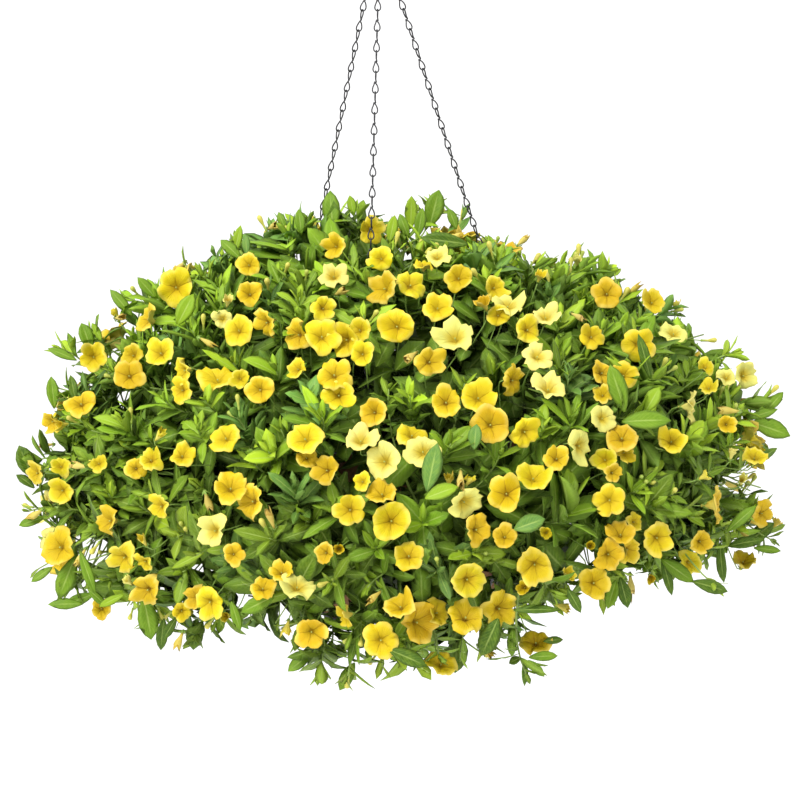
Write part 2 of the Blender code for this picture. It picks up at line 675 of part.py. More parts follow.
def cut_channel(core, azimuth_deg):
    """Cuts the room round one chain from a core, and removes the cutter."""
    bottom = around(azimuth_deg) * RIM_RADIUS
    top = np.array([0.0, 0.0, CHAIN_RISE])
    along = unit(top - bottom)
    side = unit(np.cross(along, around(azimuth_deg)))
    path = [bottom - along * (CHAIN_CHANNEL + RIM_WIRE * 2.0), bottom + along * CHANNEL_LENGTH]
    cutter = wire_object("channel", path, CHAIN_CHANNEL, 6, side, core.data.materials[0], False)
    channel = core.modifiers.new("channel", "BOOLEAN")
    channel.operation = "DIFFERENCE"
    channel.object = cutter
    graph = bpy.context.evaluated_depsgraph_get()
    cut = bpy.data.meshes.new_from_object(core.evaluated_get(graph))
    core.modifiers.clear()
    core.data = cut
    bpy.data.objects.remove(cutter)


def crown_stem(first_chain, materials):
    """The short stem that stands in its hole in the soil and carries the plant."""
    base = around(crown_azimuth(first_chain)) * CROWN_CIRCLE
    low = -SOIL_BELOW_RIM - CROWN_HOLE_DEPTH + GAP
    turn = np.arange(8) * math.pi / 4.0
    points = []
    for height in (low, CROWN_TOP):
        for t in turn:
            points.append(base + (CROWN_RADIUS * math.cos(t), CROWN_RADIUS * math.sin(t), height))
    return facing_out(mesh_object("crown", points, ring_faces(2, 8, False), materials))


def cross_axes(facing, rng):
    """Two directions square to facing, at a drawn turn about it."""
    guide = np.array([0.0, 0.0, 1.0]) if abs(facing[2]) < 0.9 else np.array([1.0, 0.0, 0.0])
    a = unit(np.cross(guide, facing))
    b = np.cross(facing, a)
    turn = rng.uniform(0.0, 2.0 * math.pi)
    return a * math.cos(turn) + b * math.sin(turn), b * math.cos(turn) - a * math.sin(turn)


def bloom_solid(middle, facing, root, radius, first_chain, materials, rng):
    """A five-lobed funnel on a three-sided stalk: rim, sunk throat, neck and root."""
    a, b = cross_axes(facing, rng)
    points = []
    for k in range(5):
        t = 2.0 * math.pi * k / 5.0
        points.append(middle + radius * (a * math.cos(t) + b * math.sin(t)))
    points.append(middle - facing * radius * BLOOM_THROAT)
    neck = middle - facing * radius * BLOOM_NECK
    for k in range(3):
        t = 2.0 * math.pi * k / 3.0 + 0.3
        points.append(neck + STALK_RADIUS * (a * math.cos(t) + b * math.sin(t)))
    points.append(root)
    faces = [(k, (k + 1) % 5, 5) for k in range(5)]
    faces += [(1, 0, 6), (2, 1, 6), (2, 6, 7), (3, 2, 7), (4, 3, 7), (4, 7, 8), (0, 4, 8), (0, 8, 6)]
    faces += [(6, 9, 7), (7, 9, 8), (8, 9, 6)]
    colours = [1] * 13 + [0] * 3
    made = mesh_object("bloom", bend_clear(points, first_chain), faces, materials, colours)
    return facing_out(made)


def whorl_solid(middle, facing, root, length, first_chain, materials, rng):
    """Leaves standing out of one shoot tip like a star, each with a raised midrib, on a three-sided stem."""
    a, b = cross_axes(facing, rng)
    count = LEAVES_A_WHORL
    points = []
    for k in range(count):
        t = 2.0 * math.pi * (k + rng.uniform(-0.15, 0.15)) / count
        lift = LEAF_LIFTS[k % 2] * length * rng.uniform(0.7, 1.3)
        reach = length * rng.uniform(0.85, 1.1)
        points.append(middle + reach * (a * math.cos(t) + b * math.sin(t)) + facing * lift)
    for k in range(count):
        t = 2.0 * math.pi * (k + 0.5) / count
        points.append(middle + length * LEAF_FOOT * (a * math.cos(t) + b * math.sin(t)))
    points.append(middle + facing * WHORL_HUB)
    neck = middle - facing * WHORL_NECK
    for k in range(3):
        t = 2.0 * math.pi * k / 3.0 + 0.3
        points.append(neck + STALK_RADIUS * (a * math.cos(t) + b * math.sin(t)))
    points.append(root)
    hub = 2 * count
    faces = []
    for k in range(count):
        before = count + (k - 1) % count
        after = count + k
        faces.append((hub, before, k))
        faces.append((hub, k, after))
        faces.append((before, after, k))
    ring = [count + k for k in range(count)]
    necks = [hub + 1, hub + 2, hub + 3]
    for k in range(count):
        near = necks[(k * 3) // count]
        faces.append((ring[k], ring[(k + 1) % count], near))
    for j in range(3):
        k = ((j + 1) * count) // 3 % count
        faces.append((ring[k], necks[(j + 1) % 3], necks[j]))
    faces += [(necks[0], necks[1], hub + 4), (necks[1], necks[2], hub + 4), (necks[2], necks[0], hub + 4)]
    made = mesh_object("whorl", bend_clear(points, first_chain), faces, materials)
    return facing_out(made)


def spaced_sites(count, others, keep, rng, tries=24):
    """Sites on the canopy, each the drawn one that lies furthest from the sites before it."""
    sites = [np.array(p) for p in others]
    found = []
    while len(found) < count:
        azimuths = rng.uniform(-180.0, 180.0, tries)
        turns = np.degrees(np.arccos(rng.uniform(-0.97, 0.96, tries)))
        points = canopy_point(azimuths, turns)
        normals = canopy_normal(azimuths, turns)
        allowed = keep(points, normals)
        if not allowed.any():
            continue
        apart = np.full(tries, 1.0)
        if sites:
            apart = np.linalg.norm(points[:, None] - np.array(sites)[None], axis=2).min(axis=1)
        best = int(np.argmax(np.where(allowed, apart, -1.0)))
        sites.append(points[best])
        found.append((points[best], normals[best]))
    return found


def outline_tips(rng):
    """Middle, facing, canopy normal and leaf length of each shoot tip on the outline of the view."""
    _, right, up = view_axes()
    centre = seen_point(VIEW_MIDDLE_PIXEL, VIEW_MIDDLE_PIXEL)
    tips = []
    for x, y in TIPS_ON_OUTLINE:
        point = seen_point(x, y)
        normal = canopy_normal(azimuth_of(point), turn_of(point))
        away = point - centre
        outward = unit(right * np.dot(away, right) + up * np.dot(away, up))
        length = rng.uniform(*LEAF_LENGTH) * TIP_SCALE
        tips.append((point - outward * length * TIP_INSET, unit(outward + normal * 0.3), normal, length))
    return tips


def front_blooms():
    """Middle, facing, canopy normal and radius of each bloom that the view shows."""
    forward, right, up = view_axes()
    blooms = []
    for x, y, width, height in BLOOMS_IN_FRONT:
        point = seen_point(x, y)
        normal = canopy_normal(azimuth_of(point), turn_of(point))
        lean = math.acos(min(width, height) / max(width, height))
        outward = right * (1.0 if x > VIEW_MIDDLE_PIXEL else -1.0)
        tip = up if height <= width else outward
        facing = unit(-forward * math.cos(lean) + tip * math.sin(lean) + normal * 0.25)
        radius = max(width, height) * VIEW_METRES_PER_PIXEL / 2.0
        blooms.append((point, facing, normal, float(np.clip(radius, *BLOOM_RADIUS))))
    return blooms


def hidden_blooms(rng, others):
    """Blooms where the view doesn't reach, spaced evenly."""
    forward, _, _ = view_axes()

    def out_of_view(points, normals):
        return (normals @ forward > 0.05) & (normals[:, 2] > -0.6)

    blooms = []
    for point, normal in spaced_sites(HIDDEN_BLOOMS, others, out_of_view, rng):
        facing = unit(normal + rng.normal(0.0, 0.3, 3) + np.array([0.0, 0.0, 0.2]))
        blooms.append((point, facing, normal, rng.uniform(*HIDDEN_BLOOM_RADIUS)))
    return blooms


def sector_of(point, chains):
    """The first chain azimuth of the plant whose third of the circle holds the point."""
    azimuth = float(azimuth_of(point))
    for first in chains:
        if (azimuth - first) % 360.0 < 2.0 * SECTOR_HALF_ANGLE:
            return first
    return chains[0]


def make_plants(materials):
    rng = np.random.default_rng(SEED)
    plants = {name: CHAIN_AZIMUTHS[chain] for name, chain in PLANTS.items()}
    chains = list(plants.values())
    blooms = front_blooms()
    blooms += hidden_blooms(rng, [b[0] for b in blooms])

    def anywhere(points, normals):
        return np.full(len(points), True)

    tips = outline_tips(rng)
    whorls = spaced_sites(WHORL_COUNT, [b[0] for b in blooms + tips], anywhere, rng)
    repeats = {first: [] for first in chains}
    for middle, facing, normal, radius in blooms:
        first = sector_of(middle, chains)
        root = middle - normal * (CORE_INSET + ROOT_DEPTH)
        repeats[first].append(bloom_solid(middle, facing, root, radius, first, materials, rng))
    for middle, facing, normal, length in tips:
        first = sector_of(middle, chains)
        root = middle - normal * (CORE_INSET + ROOT_DEPTH)
        repeats[first].append(whorl_solid(middle, facing, root, length, first, materials, rng))
    for point, normal in whorls:
        first = sector_of(point, chains)
        middle = point - normal * rng.uniform(*WHORL_SUNK)
        facing = unit(normal + np.array([0.0, 0.0, 0.35]) + rng.normal(0.0, 0.2, 3))
        root = point - normal * (CORE_INSET + ROOT_DEPTH)
        length = rng.uniform(*LEAF_LENGTH)
        repeats[first].append(whorl_solid(middle, facing, root, length, first, materials, rng))
    made = []
    for name, first in plants.items():
        core = make_core(name, first, materials, rng)
        pieces = [crown_stem(first, materials)] + repeats[first]
        made.append(fuse(core, pieces, "MANIFOLD"))
    return made


def main():
    for old in list(bpy.data.objects):
        bpy.data.objects.remove(old)
    wire = principled("black_wire", (0.02, 0.02, 0.022), 0.45, 0.6)
    coir = principled("coco_fibre", (0.20, 0.11, 0.05), 0.95)
    earth = principled("potting_soil", (0.035, 0.022, 0.015), 1.0)
    leaf = principled("leaf_green", (0.10, 0.24, 0.04), 0.55)
    petal = principled("petal_yellow", (0.93, 0.72, 0.05), 0.6)
    rim = bpy.data.objects.new("rim_centre", None)
    bpy.context.scene.collection.objects.link(rim)
    rim.location = (0.0, 0.0, -RIM_DROP)
    make_hook(wire)
    crowns = [around(crown_azimuth(first)) for first in CHAIN_AZIMUTHS.values()]
    held = [make_basket_frame(wire), make_liner(coir), make_soil(earth, crowns)]
    for name, azimuth in CHAIN_AZIMUTHS.items():
        held.append(make_chain(name, azimuth, EYE_OFFSETS[name], wire))
    held += make_plants([leaf, petal])
    # The cutters of the crown holes stay under the rim too
    held += [o for o in bpy.data.objects if o.name.startswith("crown_hole")]
    for piece in held:
        piece.parent = rim


main()
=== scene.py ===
import math

import bpy
import numpy as np
from mathutils import Matrix, Vector


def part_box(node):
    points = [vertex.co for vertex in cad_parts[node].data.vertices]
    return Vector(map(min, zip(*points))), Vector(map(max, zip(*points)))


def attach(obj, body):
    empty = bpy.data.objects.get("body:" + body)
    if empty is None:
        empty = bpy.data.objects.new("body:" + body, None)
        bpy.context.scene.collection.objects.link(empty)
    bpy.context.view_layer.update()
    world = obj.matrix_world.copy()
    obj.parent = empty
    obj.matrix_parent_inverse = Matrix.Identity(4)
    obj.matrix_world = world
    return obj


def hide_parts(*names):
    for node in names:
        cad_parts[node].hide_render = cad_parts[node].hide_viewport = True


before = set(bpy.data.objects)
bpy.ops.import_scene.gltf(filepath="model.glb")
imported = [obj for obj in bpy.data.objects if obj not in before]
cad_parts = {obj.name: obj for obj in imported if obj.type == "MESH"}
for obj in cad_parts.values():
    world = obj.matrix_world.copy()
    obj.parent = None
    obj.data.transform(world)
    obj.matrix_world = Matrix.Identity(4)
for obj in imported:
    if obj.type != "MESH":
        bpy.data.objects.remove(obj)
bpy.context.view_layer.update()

# A hanging basket of yellow calibrachoa, grown over its rim: leaves, blooms, stems, chains and basket.
# Metres, +Z up. Shapes are worked out round the centre of the basket's rim, and lowered into the
# frame as each piece is made. Azimuths are in degrees from the front (-Y), and grow towards +X.

chance = np.random.default_rng(11)
fullTurn = 2.0 * math.pi

# The view in which the blooms and leaves below were read, 800 pixels square
view = {
    "distance": 2.6, "rise": math.radians(8.0), "roll": math.radians(1.7),
    "metresPerPixel": 0.00091, "centre": (0.0064, 0.0, 0.0246), "middlePixel": 400.0,
    # How far before and behind its centre a line of sight is searched, and at how many points
    "searched": 0.45, "searchSteps": 901,
}

# How far the mass of leaves reaches, before the tips that stand out of it
canopy = {
    "middle": -0.050, "radius": 0.3225, "rise": 0.250, "riseLean": -0.012, "drop": 0.097, "dropLean": 0.008,
    "domePower": 1.18, "skirtPower": 0.3,
    # Waves of the radius: how many, the azimuth of the first crest times that, and height
    "waves": ((1, 63.4, 0.0112), (2, 180.0, 0.0125), (3, 32.7, 0.006), (5, -24.6, 0.004)),
    # Lobes of the skirt: azimuth, half width in degrees, and how much lower it hangs there
    "lobes": ((3.0, 24.0, 0.036), (52.0, 20.0, -0.024), (-62.0, 22.0, 0.014),
              (150.0, 26.0, 0.016), (-148.0, 28.0, 0.018)),
}

basket = {
    "rimRadius": 0.140, "rimWire": 0.0025, "ribWire": 0.0015, "depth": 0.165, "baseRadius": 0.075,
    "bowlPower": 2.2, "ribs": 8, "hoopHeights": (0.5, 1.0), "soilDrop": 0.020, "crownCircle": 0.065,
    "hoopRows": 96, "ribRows": 20, "rimSides": 10, "wireSides": 8,
    # A bead of weld: its rings along the wire, their radii, and how much larger it is on the rim
    "beadRows": (-0.0022, -0.0012, 0.0012, 0.0022), "beadRadii": (0.0008, 0.0022, 0.0022, 0.0008),
    "rimBead": 1.25,
}
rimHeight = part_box("basket_frame")[1].z - basket["rimWire"]

# Azimuths where a chain meets the rim, each of which is also where a plant's third of the circle begins
frontStart, rightStart, leftStart = -10.5, 109.5, -130.5
plantStarts = {"right": frontStart, "left": leftStart, "back": rightStart}
chains = {
    "links": 24, "wire": 0.00068, "width": 0.0070, "sides": 5, "steps": 18, "rise": 0.430,
    # The shape of a link's pears: see linkPath
    "pearPower": 0.6, "waist": 0.15, "frameTurn": 0.14,
    # The links over which a chain comes round to the rim, and to its turn from the front and back
    "roundFrom": 13.0, "roundOver": 10.0, "turnOver": 4.0, "turnUpTo": 20.0, "turnBackOver": 5.0,
    # Azimuth, how far the top hangs aside in the hook's eye, and the links' turn from the front
    "lines": {"chain_front": (frontStart, 0.0, 4.0), "chain_right": (rightStart, 0.004, 24.0),
              "chain_left": (leftStart, -0.004, -28.0)},
}


# Plain vector helpers

def unit(v):
    return v / np.maximum(np.linalg.norm(v, axis=-1, keepdims=True), 1e-12)


def dot(a, b):
    return np.sum(a * b, axis=-1, keepdims=True)


def around(azimuth):
    a = np.radians(azimuth)
    return np.stack([np.sin(a), -np.cos(a), np.zeros_like(a)], axis=-1)


def azimuthOf(p):
    return np.degrees(np.arctan2(p[..., 0], -p[..., 1]))


def squareTo(axis, turn):
    # Two directions square to axis and to each other, turned about it by turn
    guide = np.where(np.abs(axis[..., 2:3]) < 0.9, [0.0, 0.0, 1.0], [1.0, 0.0, 0.0])
    a = unit(np.cross(guide, axis))
    b = np.cross(axis, a)
    c, s = np.cos(turn)[..., None], np.sin(turn)[..., None]
    return a * c + b * s, b * c - a * s


def anySide(axis):
    # One direction square to each axis, as a guide for tubes
    return squareTo(axis, np.zeros(len(axis)))[0][:, None]


def smooth(x):
    # The S curve 3x^2 - 2x^3, from 0 to 1
    x = np.clip(x, 0.0, 1.0)
    return x * x * (3.0 - 2.0 * x)


def evenTurns(count):
    # Angles that share out a full turn
    return np.arange(count) * fullTurn / count


def levelCircle(count):
    t = evenTurns(count)
    return np.stack([np.cos(t), np.sin(t), 0 * t], axis=-1)


def opaque(colour):
    # Colours with an alpha of 1
    return np.concatenate([colour, np.ones(colour.shape[:-1] + (1,))], axis=-1)


# The canopy's surface

def canopyReach(azimuth):
    # Radius, rise and drop at an azimuth: each is its own size plus waves or lobes round the plants
    a = np.radians(azimuth)
    radius = canopy["radius"] + 0.0 * a
    for times, crest, height in canopy["waves"]:
        radius = radius + height * np.cos(times * a - math.radians(crest))
    rise = canopy["rise"] + canopy["riseLean"] * np.sin(a)
    drop = canopy["drop"] + canopy["dropLean"] * np.cos(a)
    for middle, halfWidth, lower in canopy["lobes"]:
        off = (azimuth - middle + 180.0) % 360.0 - 180.0
        drop = drop + lower * np.exp(-((off / halfWidth) ** 2))
    return radius, rise, drop


def canopyRadius(radius, share):
    # radius x sqrt(1 - share^2) to a power, one above the middle and another below it
    s = np.sqrt(np.maximum(1.0 - share * share, 1e-12))
    return radius * np.where(share > 0, s ** canopy["domePower"], s ** canopy["skirtPower"])


def canopyPoint(azimuth, turn):
    # The surface by azimuth and turn: 0 is its top, 90 its widest and 172 underneath
    radius, rise, drop = canopyReach(azimuth)
    c = np.cos(np.radians(turn))
    r = canopyRadius(radius, c)
    z = canopy["middle"] + np.where(c > 0, rise, drop) * c
    return around(azimuth) * r[..., None] + np.stack([0 * z, 0 * z, z], axis=-1)


def canopyNormal(azimuth, turn):
    # The cross product of the surface's two slopes
    step = 0.5
    turn = np.clip(turn, 1.5, 171.0)
    down = canopyPoint(azimuth, turn + step) - canopyPoint(azimuth, turn - step)
    side = canopyPoint(azimuth + step, turn) - canopyPoint(azimuth - step, turn)
    return unit(np.cross(down, side))


def heightShare(p, rise, drop):
    # Height over the canopy's widest level, as a share of the rise above it or of the drop below
    z = p[..., 2] - canopy["middle"]
    return np.where(z > 0, z / rise, z / drop)


def canopyDepth(p):
    # How far a point lies inside the surface, level with it, below zero outside
    radius, rise, drop = canopyReach(azimuthOf(p))
    share = heightShare(p, rise, drop)
    r = canopyRadius(radius, np.clip(share, -1.0, 1.0))
    outside = -np.abs(p[..., 2] - canopy["middle"])
    return np.where(np.abs(share) < 1.0, r, outside) - np.hypot(p[..., 0], p[..., 1])


def turnOf(p):
    # The turn at which the canopy is level with a point
    _, rise, drop = canopyReach(azimuthOf(p))
    return np.degrees(np.arccos(np.clip(heightShare(p, rise, drop), -0.985, 0.999)))


def bowlRadius(share):
    # From the rim to the base hoop: base + (rim - base) sqrt(1 - share^power), nearly a quarter ellipse
    span = basket["rimRadius"] - basket["baseRadius"]
    return basket["baseRadius"] + span * np.sqrt(np.maximum(1.0 - share ** basket["bowlPower"], 0.0))


def viewAxes():
    # The view's forward, right and up: risen about the level, then rolled
    forward = np.array([0.0, math.cos(view["rise"]), -math.sin(view["rise"])])
    level = np.array([1.0, 0.0, 0.0])
    upright = np.array([0.0, math.sin(view["rise"]), math.cos(view["rise"])])
    right = level * math.cos(view["roll"]) - upright * math.sin(view["roll"])
    up = level * math.sin(view["roll"]) + upright * math.cos(view["roll"])
    return forward, right, up


forward, right, up = viewAxes()
skyward = np.array([0.0, 0.0, 1.0])
eye = np.array(view["centre"]) - forward * view["distance"]


def seenPoints(x, y):
    # Where each line of sight first meets the canopy, or comes nearest to it
    focal = view["distance"] / view["metresPerPixel"]
    dx = (x - view["middlePixel"])[:, None] / focal
    dy = (view["middlePixel"] - y)[:, None] / focal
    sight = forward + right * dx + up * dy
    reach = view["distance"] + np.linspace(-view["searched"], view["searched"], view["searchSteps"])
    line = eye + sight[:, None] * reach[None, :, None]
    depth = canopyDepth(line)
    inside = depth > 0
    first = np.where(inside.any(axis=1), inside.argmax(axis=1), depth.argmax(axis=1))
    return line[np.arange(len(x)), first]


def inCircles(p, circles):
    # Whether a point p appears in one of the circles of the view: x, y and radius in its pixels
    away = p - eye
    scale = view["distance"] / view["metresPerPixel"] / (away @ forward)
    x = view["middlePixel"] + away @ right * scale
    y = view["middlePixel"] - away @ up * scale
    middleX, middleY, radius = np.array(circles, float).T
    return (np.hypot(x[..., None] - middleX, y[..., None] - middleY) < radius).any(axis=-1)


def spacedSites(count, others, allowed, draws, tries=24):
    # Sites on the canopy, each the drawn one that lies furthest from all the sites before it
    sites = [np.array(p) for p in others]
    points, normals = [], []
    while len(points) < count:
        azimuths = draws.uniform(-180.0, 180.0, tries)
        turns = np.degrees(np.arccos(draws.uniform(-0.97, 0.96, tries)))
        p = canopyPoint(azimuths, turns)
        n = canopyNormal(azimuths, turns)
        ok = allowed(p, n)
        if not ok.any():
            continue
        apart = np.full(tries, 1.0)
        if sites:
            apart = np.linalg.norm(p[:, None] - np.array(sites)[None], axis=2).min(axis=1)
        best = int(np.argmax(np.where(ok, apart, -1.0)))
        sites.append(p[best])
        points.append(p[best])
        normals.append(n[best])
    return np.array(points), np.array(normals)


# Mesh helpers: a shell is rings of points, closed by a flat face at each end or round on itself

def ringFaces(rows, sides, loop):
    # Quads between ring i and i+1, corner j and j+1, the last corner joined to the first
    i, j = np.meshgrid(np.arange(rows if loop else rows - 1), np.arange(sides), indexing="ij")
    k, n = (j + 1) % sides, (i + 1) % rows
    return np.stack([i * sides + j, i * sides + k, n * sides + k, n * sides + j], axis=-1).reshape(-1, 4)


def ringUv(us, vs, loop):
    # The (u, v) of each corner of ringFaces. us has one value more than there are sides
    rows, sides = len(vs), len(us) - 1
    vs = np.append(vs, 1.0)
    i, j = np.meshgrid(np.arange(rows if loop else rows - 1), np.arange(sides), indexing="ij")
    corners = [(us[j], vs[i]), (us[j + 1], vs[i]), (us[j + 1], vs[i + 1]), (us[j], vs[i + 1])]
    return np.stack([np.stack(c, axis=-1) for c in corners], axis=2).reshape(-1, 4, 2)


def shells(points, us, vs, tint, loop=False):
    # One part from points of shape (copies, rings, sides, 3), with rings counterclockwise about the path
    count, rows, sides = points.shape[:3]
    starts = np.arange(count) * rows * sides
    faces = ringFaces(rows, sides, loop)
    faceSets = [(faces[None] + starts[:, None, None]).reshape(-1, 4)]
    uvSets = [np.tile(ringUv(np.asarray(us), np.asarray(vs), loop), (count, 1, 1))]
    if not loop:
        for ring, v in ((np.arange(sides)[::-1], vs[0]), (np.arange(sides) + (rows - 1) * sides, vs[-1])):
            faceSets.append(ring[None] + starts[:, None])
            uvSets.append(np.tile(np.array([0.5, v]), (count, sides, 1)))
    colours = np.broadcast_to(tint, (count, rows, sides, 4)).reshape(-1, 4)
    return points.reshape(-1, 3), faceSets, uvSets, colours


def meshPiece(name, parts, material, nodes):
    # Joins the parts into one object in the frame, with UV map "surface" and point colour "tint"
    points = np.concatenate([p[0] for p in parts]) + [0.0, 0.0, rimHeight]
    tint = np.concatenate([p[3] for p in parts])
    offset, faceSets, uvSets = 0, [], []
    for part in parts:
        faceSets += [f + offset for f in part[1]]
        uvSets += part[2]
        offset += len(part[0])
    corners = np.concatenate([f.ravel() for f in faceSets])
    sizes = np.concatenate([np.full(len(f), f.shape[1]) for f in faceSets])
    mesh = bpy.data.meshes.new(name)
    mesh.vertices.add(len(points))
    mesh.vertices.foreach_set("co", points.astype(np.float32).ravel())
    mesh.loops.add(len(corners))
    mesh.loops.foreach_set("vertex_index", corners.astype(np.int32))
    mesh.polygons.add(len(sizes))
    mesh.polygons.foreach_set("loop_start", (np.cumsum(sizes) - sizes).astype(np.int32))
    mesh.update(calc_edges=True)
    mesh.polygons.foreach_set("use_smooth", np.full(len(sizes), True))
    uv = np.concatenate([u.reshape(-1, 2) for u in uvSets]).astype(np.float32)
    mesh.uv_layers.new(name="surface").data.foreach_set("uv", uv.ravel())
    colours = mesh.color_attributes.new(name="tint", type="FLOAT_COLOR", domain="POINT")
    colours.data.foreach_set("color", tint.astype(np.float32).ravel())
    mesh.materials.append(material)
    mesh.validate()
    piece = bpy.data.objects.new(name, mesh)
    bpy.context.scene.collection.objects.link(piece)
    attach(piece, "root")
    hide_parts(*nodes)
    print(name, "has", int(np.sum(sizes - 2)), "triangles")
    return piece


def tubes(paths, guides, radii, sides, tint, loop=False):
    # Round wires or stems: ring = path + radius (A cos t + B sin t), where A is the guide made square
    # to the path's direction T, and B = T x A
    if loop:
        ahead = np.roll(paths, -1, axis=1) - np.roll(paths, 1, axis=1)
    else:
        ahead = np.gradient(paths, axis=1)
    along = unit(ahead)
    a = np.broadcast_to(guides, paths.shape)
    a = unit(a - along * dot(a, along))
    b = np.cross(along, a)
    t = evenTurns(sides)
    r = np.broadcast_to(radii, paths.shape[:2])[..., None, None]
    ring = a[:, :, None] * np.cos(t)[:, None] + b[:, :, None] * np.sin(t)[:, None]
    points = paths[:, :, None] + r * ring
    us = np.linspace(0.0, 1.0, sides + 1)
    vs = np.linspace(0.0, 1.0, paths.shape[1] + (1 if loop else 0))[:paths.shape[1]]
    return shells(points, us, vs, tint, loop)


# Materials

# Linear colours that the finishes mix in
finishColours = {
    "leafPatch": (0.62, 0.76, 0.55), "leafMottle": (0.28, 0.40, 0.030), "leafVein": (0.32, 0.44, 0.060),
    "leafRib": (0.42, 0.53, 0.13), "leafUnder": (0.24, 0.35, 0.080), "stemGrain": (0.6, 0.7, 0.4),
    "petalHeart": (0.63, 0.455, 0.008), "petalInner": (0.47, 0.285, 0.003),
    "petalSeamShadeAndVein": (0.30, 0.155, 0.003), "petalRim": (0.80, 0.690, 0.190),
    "petalThroat": (0.20, 0.100, 0.003), "petalOutside": (0.52, 0.46, 0.10),
    "lacquer": (0.035, 0.035, 0.038), "worn": (0.24, 0.235, 0.23),
    "fibreGapShade": (0.35, 0.30, 0.26), "fibreClump": (0.12, 0.062, 0.026),
    "soilDark": (0.014, 0.009, 0.006), "soilLight": (0.075, 0.045, 0.028), "soilBark": (0.13, 0.075, 0.038),
}


class Signal:
    # An output of a material's nodes, which adds, subtracts and multiplies as a number does
    def __init__(self, shading, socket):
        self.shading = shading
        self.socket = socket

    def __add__(self, other):
        return self.shading.math("ADD", self, other)

    def __sub__(self, other):
        return self.shading.math("SUBTRACT", self, other)

    def __mul__(self, other):
        return self.shading.math("MULTIPLY", self, other)


class Shading:
    # A material's nodes. Colours are given as linear red, green and blue
    def __init__(self, name):
        self.material = bpy.data.materials.new(name)
        self.material.use_nodes = True
        self.tree = self.material.node_tree
        self.shader = self.tree.nodes["Principled BSDF"]

    def put(self, socket, value):
        if isinstance(value, Signal):
            self.tree.links.new(value.socket, socket)
        elif isinstance(value, tuple):
            socket.default_value = value + (1.0,)
        else:
            socket.default_value = value

    def node(self, kind, **inputs):
        made = self.tree.nodes.new(kind)
        for key, value in inputs.items():
            self.put(made.inputs[key.replace("_", " ")], value)
        return made

    def output(self, made, key):
        return Signal(self, made.outputs[key])

    def math(self, operation, a, b=0.0, clamp=False):
        made = self.tree.nodes.new("ShaderNodeMath")
        made.operation = operation
        made.use_clamp = clamp
        self.put(made.inputs[0], a)
        self.put(made.inputs[1], b)
        return self.output(made, 0)

    def ramp(self, value, low, high):
        # 0 up to low, 1 from high, an S curve between
        made = self.node("ShaderNodeMapRange", Value=value, From_Min=low, From_Max=high)
        made.interpolation_type = "SMOOTHSTEP"
        return self.output(made, "Result")

    def mix(self, share, a, b, blend="MIX"):
        # A share of colour b over, or with blend MULTIPLY times, colour a
        made = self.tree.nodes.new("ShaderNodeMix")
        made.data_type = "RGBA"
        made.blend_type = blend
        self.put(made.inputs["Factor"], share)
        self.put(made.inputs[6], a)
        self.put(made.inputs[7], b)
        return self.output(made, 2)

    def noise(self, scale, detail=3.0, roughness=0.55):
        place = self.tree.nodes.new("ShaderNodeTexCoord")
        made = self.node("ShaderNodeTexNoise", Vector=self.output(place, "Object"), Scale=scale,
                         Detail=detail, Roughness=roughness)
        return self.output(made, "Fac")

    def surface(self):
        # u and v of the piece's own map
        made = self.tree.nodes.new("ShaderNodeUVMap")
        made.uv_map = "surface"
        parts = self.node("ShaderNodeSeparateXYZ", Vector=self.output(made, "UV"))
        return self.output(parts, "X"), self.output(parts, "Y")

    def tint(self):
        # The point colour that meshPiece stores, and its alpha
        made = self.tree.nodes.new("ShaderNodeAttribute")
        made.attribute_name = "tint"
        return self.output(made, "Color"), self.output(made, "Alpha")

    def bump(self, height, distance, strength):
        made = self.node("ShaderNodeBump", Height=height, Distance=distance, Strength=strength)
        self.tree.links.new(made.outputs["Normal"], self.shader.inputs["Normal"])

    def finish(self, colour, roughness, **fixed):
        self.put(self.shader.inputs["Base Color"], colour)
        self.put(self.shader.inputs["Roughness"], roughness)
        for key, value in fixed.items():
            self.shader.inputs[key.replace("_", " ")].default_value = value
        return self.material


def leafFinish():
    # Tint x mottling, with a pale midrib, faint side veins, and a paler, duller underside
    m = Shading("leaf")
    u, v = m.surface()
    colour, upper = m.tint()
    off = m.math("ABSOLUTE", u - 0.5)
    rib = m.ramp(off, 0.075, 0.0) * m.ramp(v, 1.0, 0.55)
    veins = m.ramp(m.math("SINE", v * 60.0 - off * 34.0), 0.55, 1.0)
    mottle = m.noise(260.0)
    patches = m.ramp(m.noise(38.0, 2.0), 0.35, 0.70)
    under = m.math("SUBTRACT", 1.0, upper, clamp=True)
    colour = m.mix(patches, colour, m.mix(0.5, colour, finishColours["leafPatch"], "MULTIPLY"))
    colour = m.mix(m.ramp(mottle, 0.35, 0.75) * 0.20, colour, finishColours["leafMottle"])
    colour = m.mix(veins * 0.14, colour, finishColours["leafVein"])
    colour = m.mix(rib * 0.42, colour, finishColours["leafRib"])
    colour = m.mix(under * 0.35, colour, finishColours["leafUnder"])
    m.bump(mottle * 0.5 - (veins + rib), 0.0005, 0.35)
    return m.finish(colour, (under + mottle) * 0.14 + 0.42, Specular_IOR_Level=0.22)


def stemFinish():
    # Tint, darker and greener in the grain
    m = Shading("stem")
    colour, _ = m.tint()
    grain = m.noise(300.0)
    colour = m.mix(grain * 0.5, colour, m.mix(1.0, colour, finishColours["stemGrain"], "MULTIPLY"))
    m.bump(grain, 0.0004, 0.4)
    return m.finish(colour, 0.55)


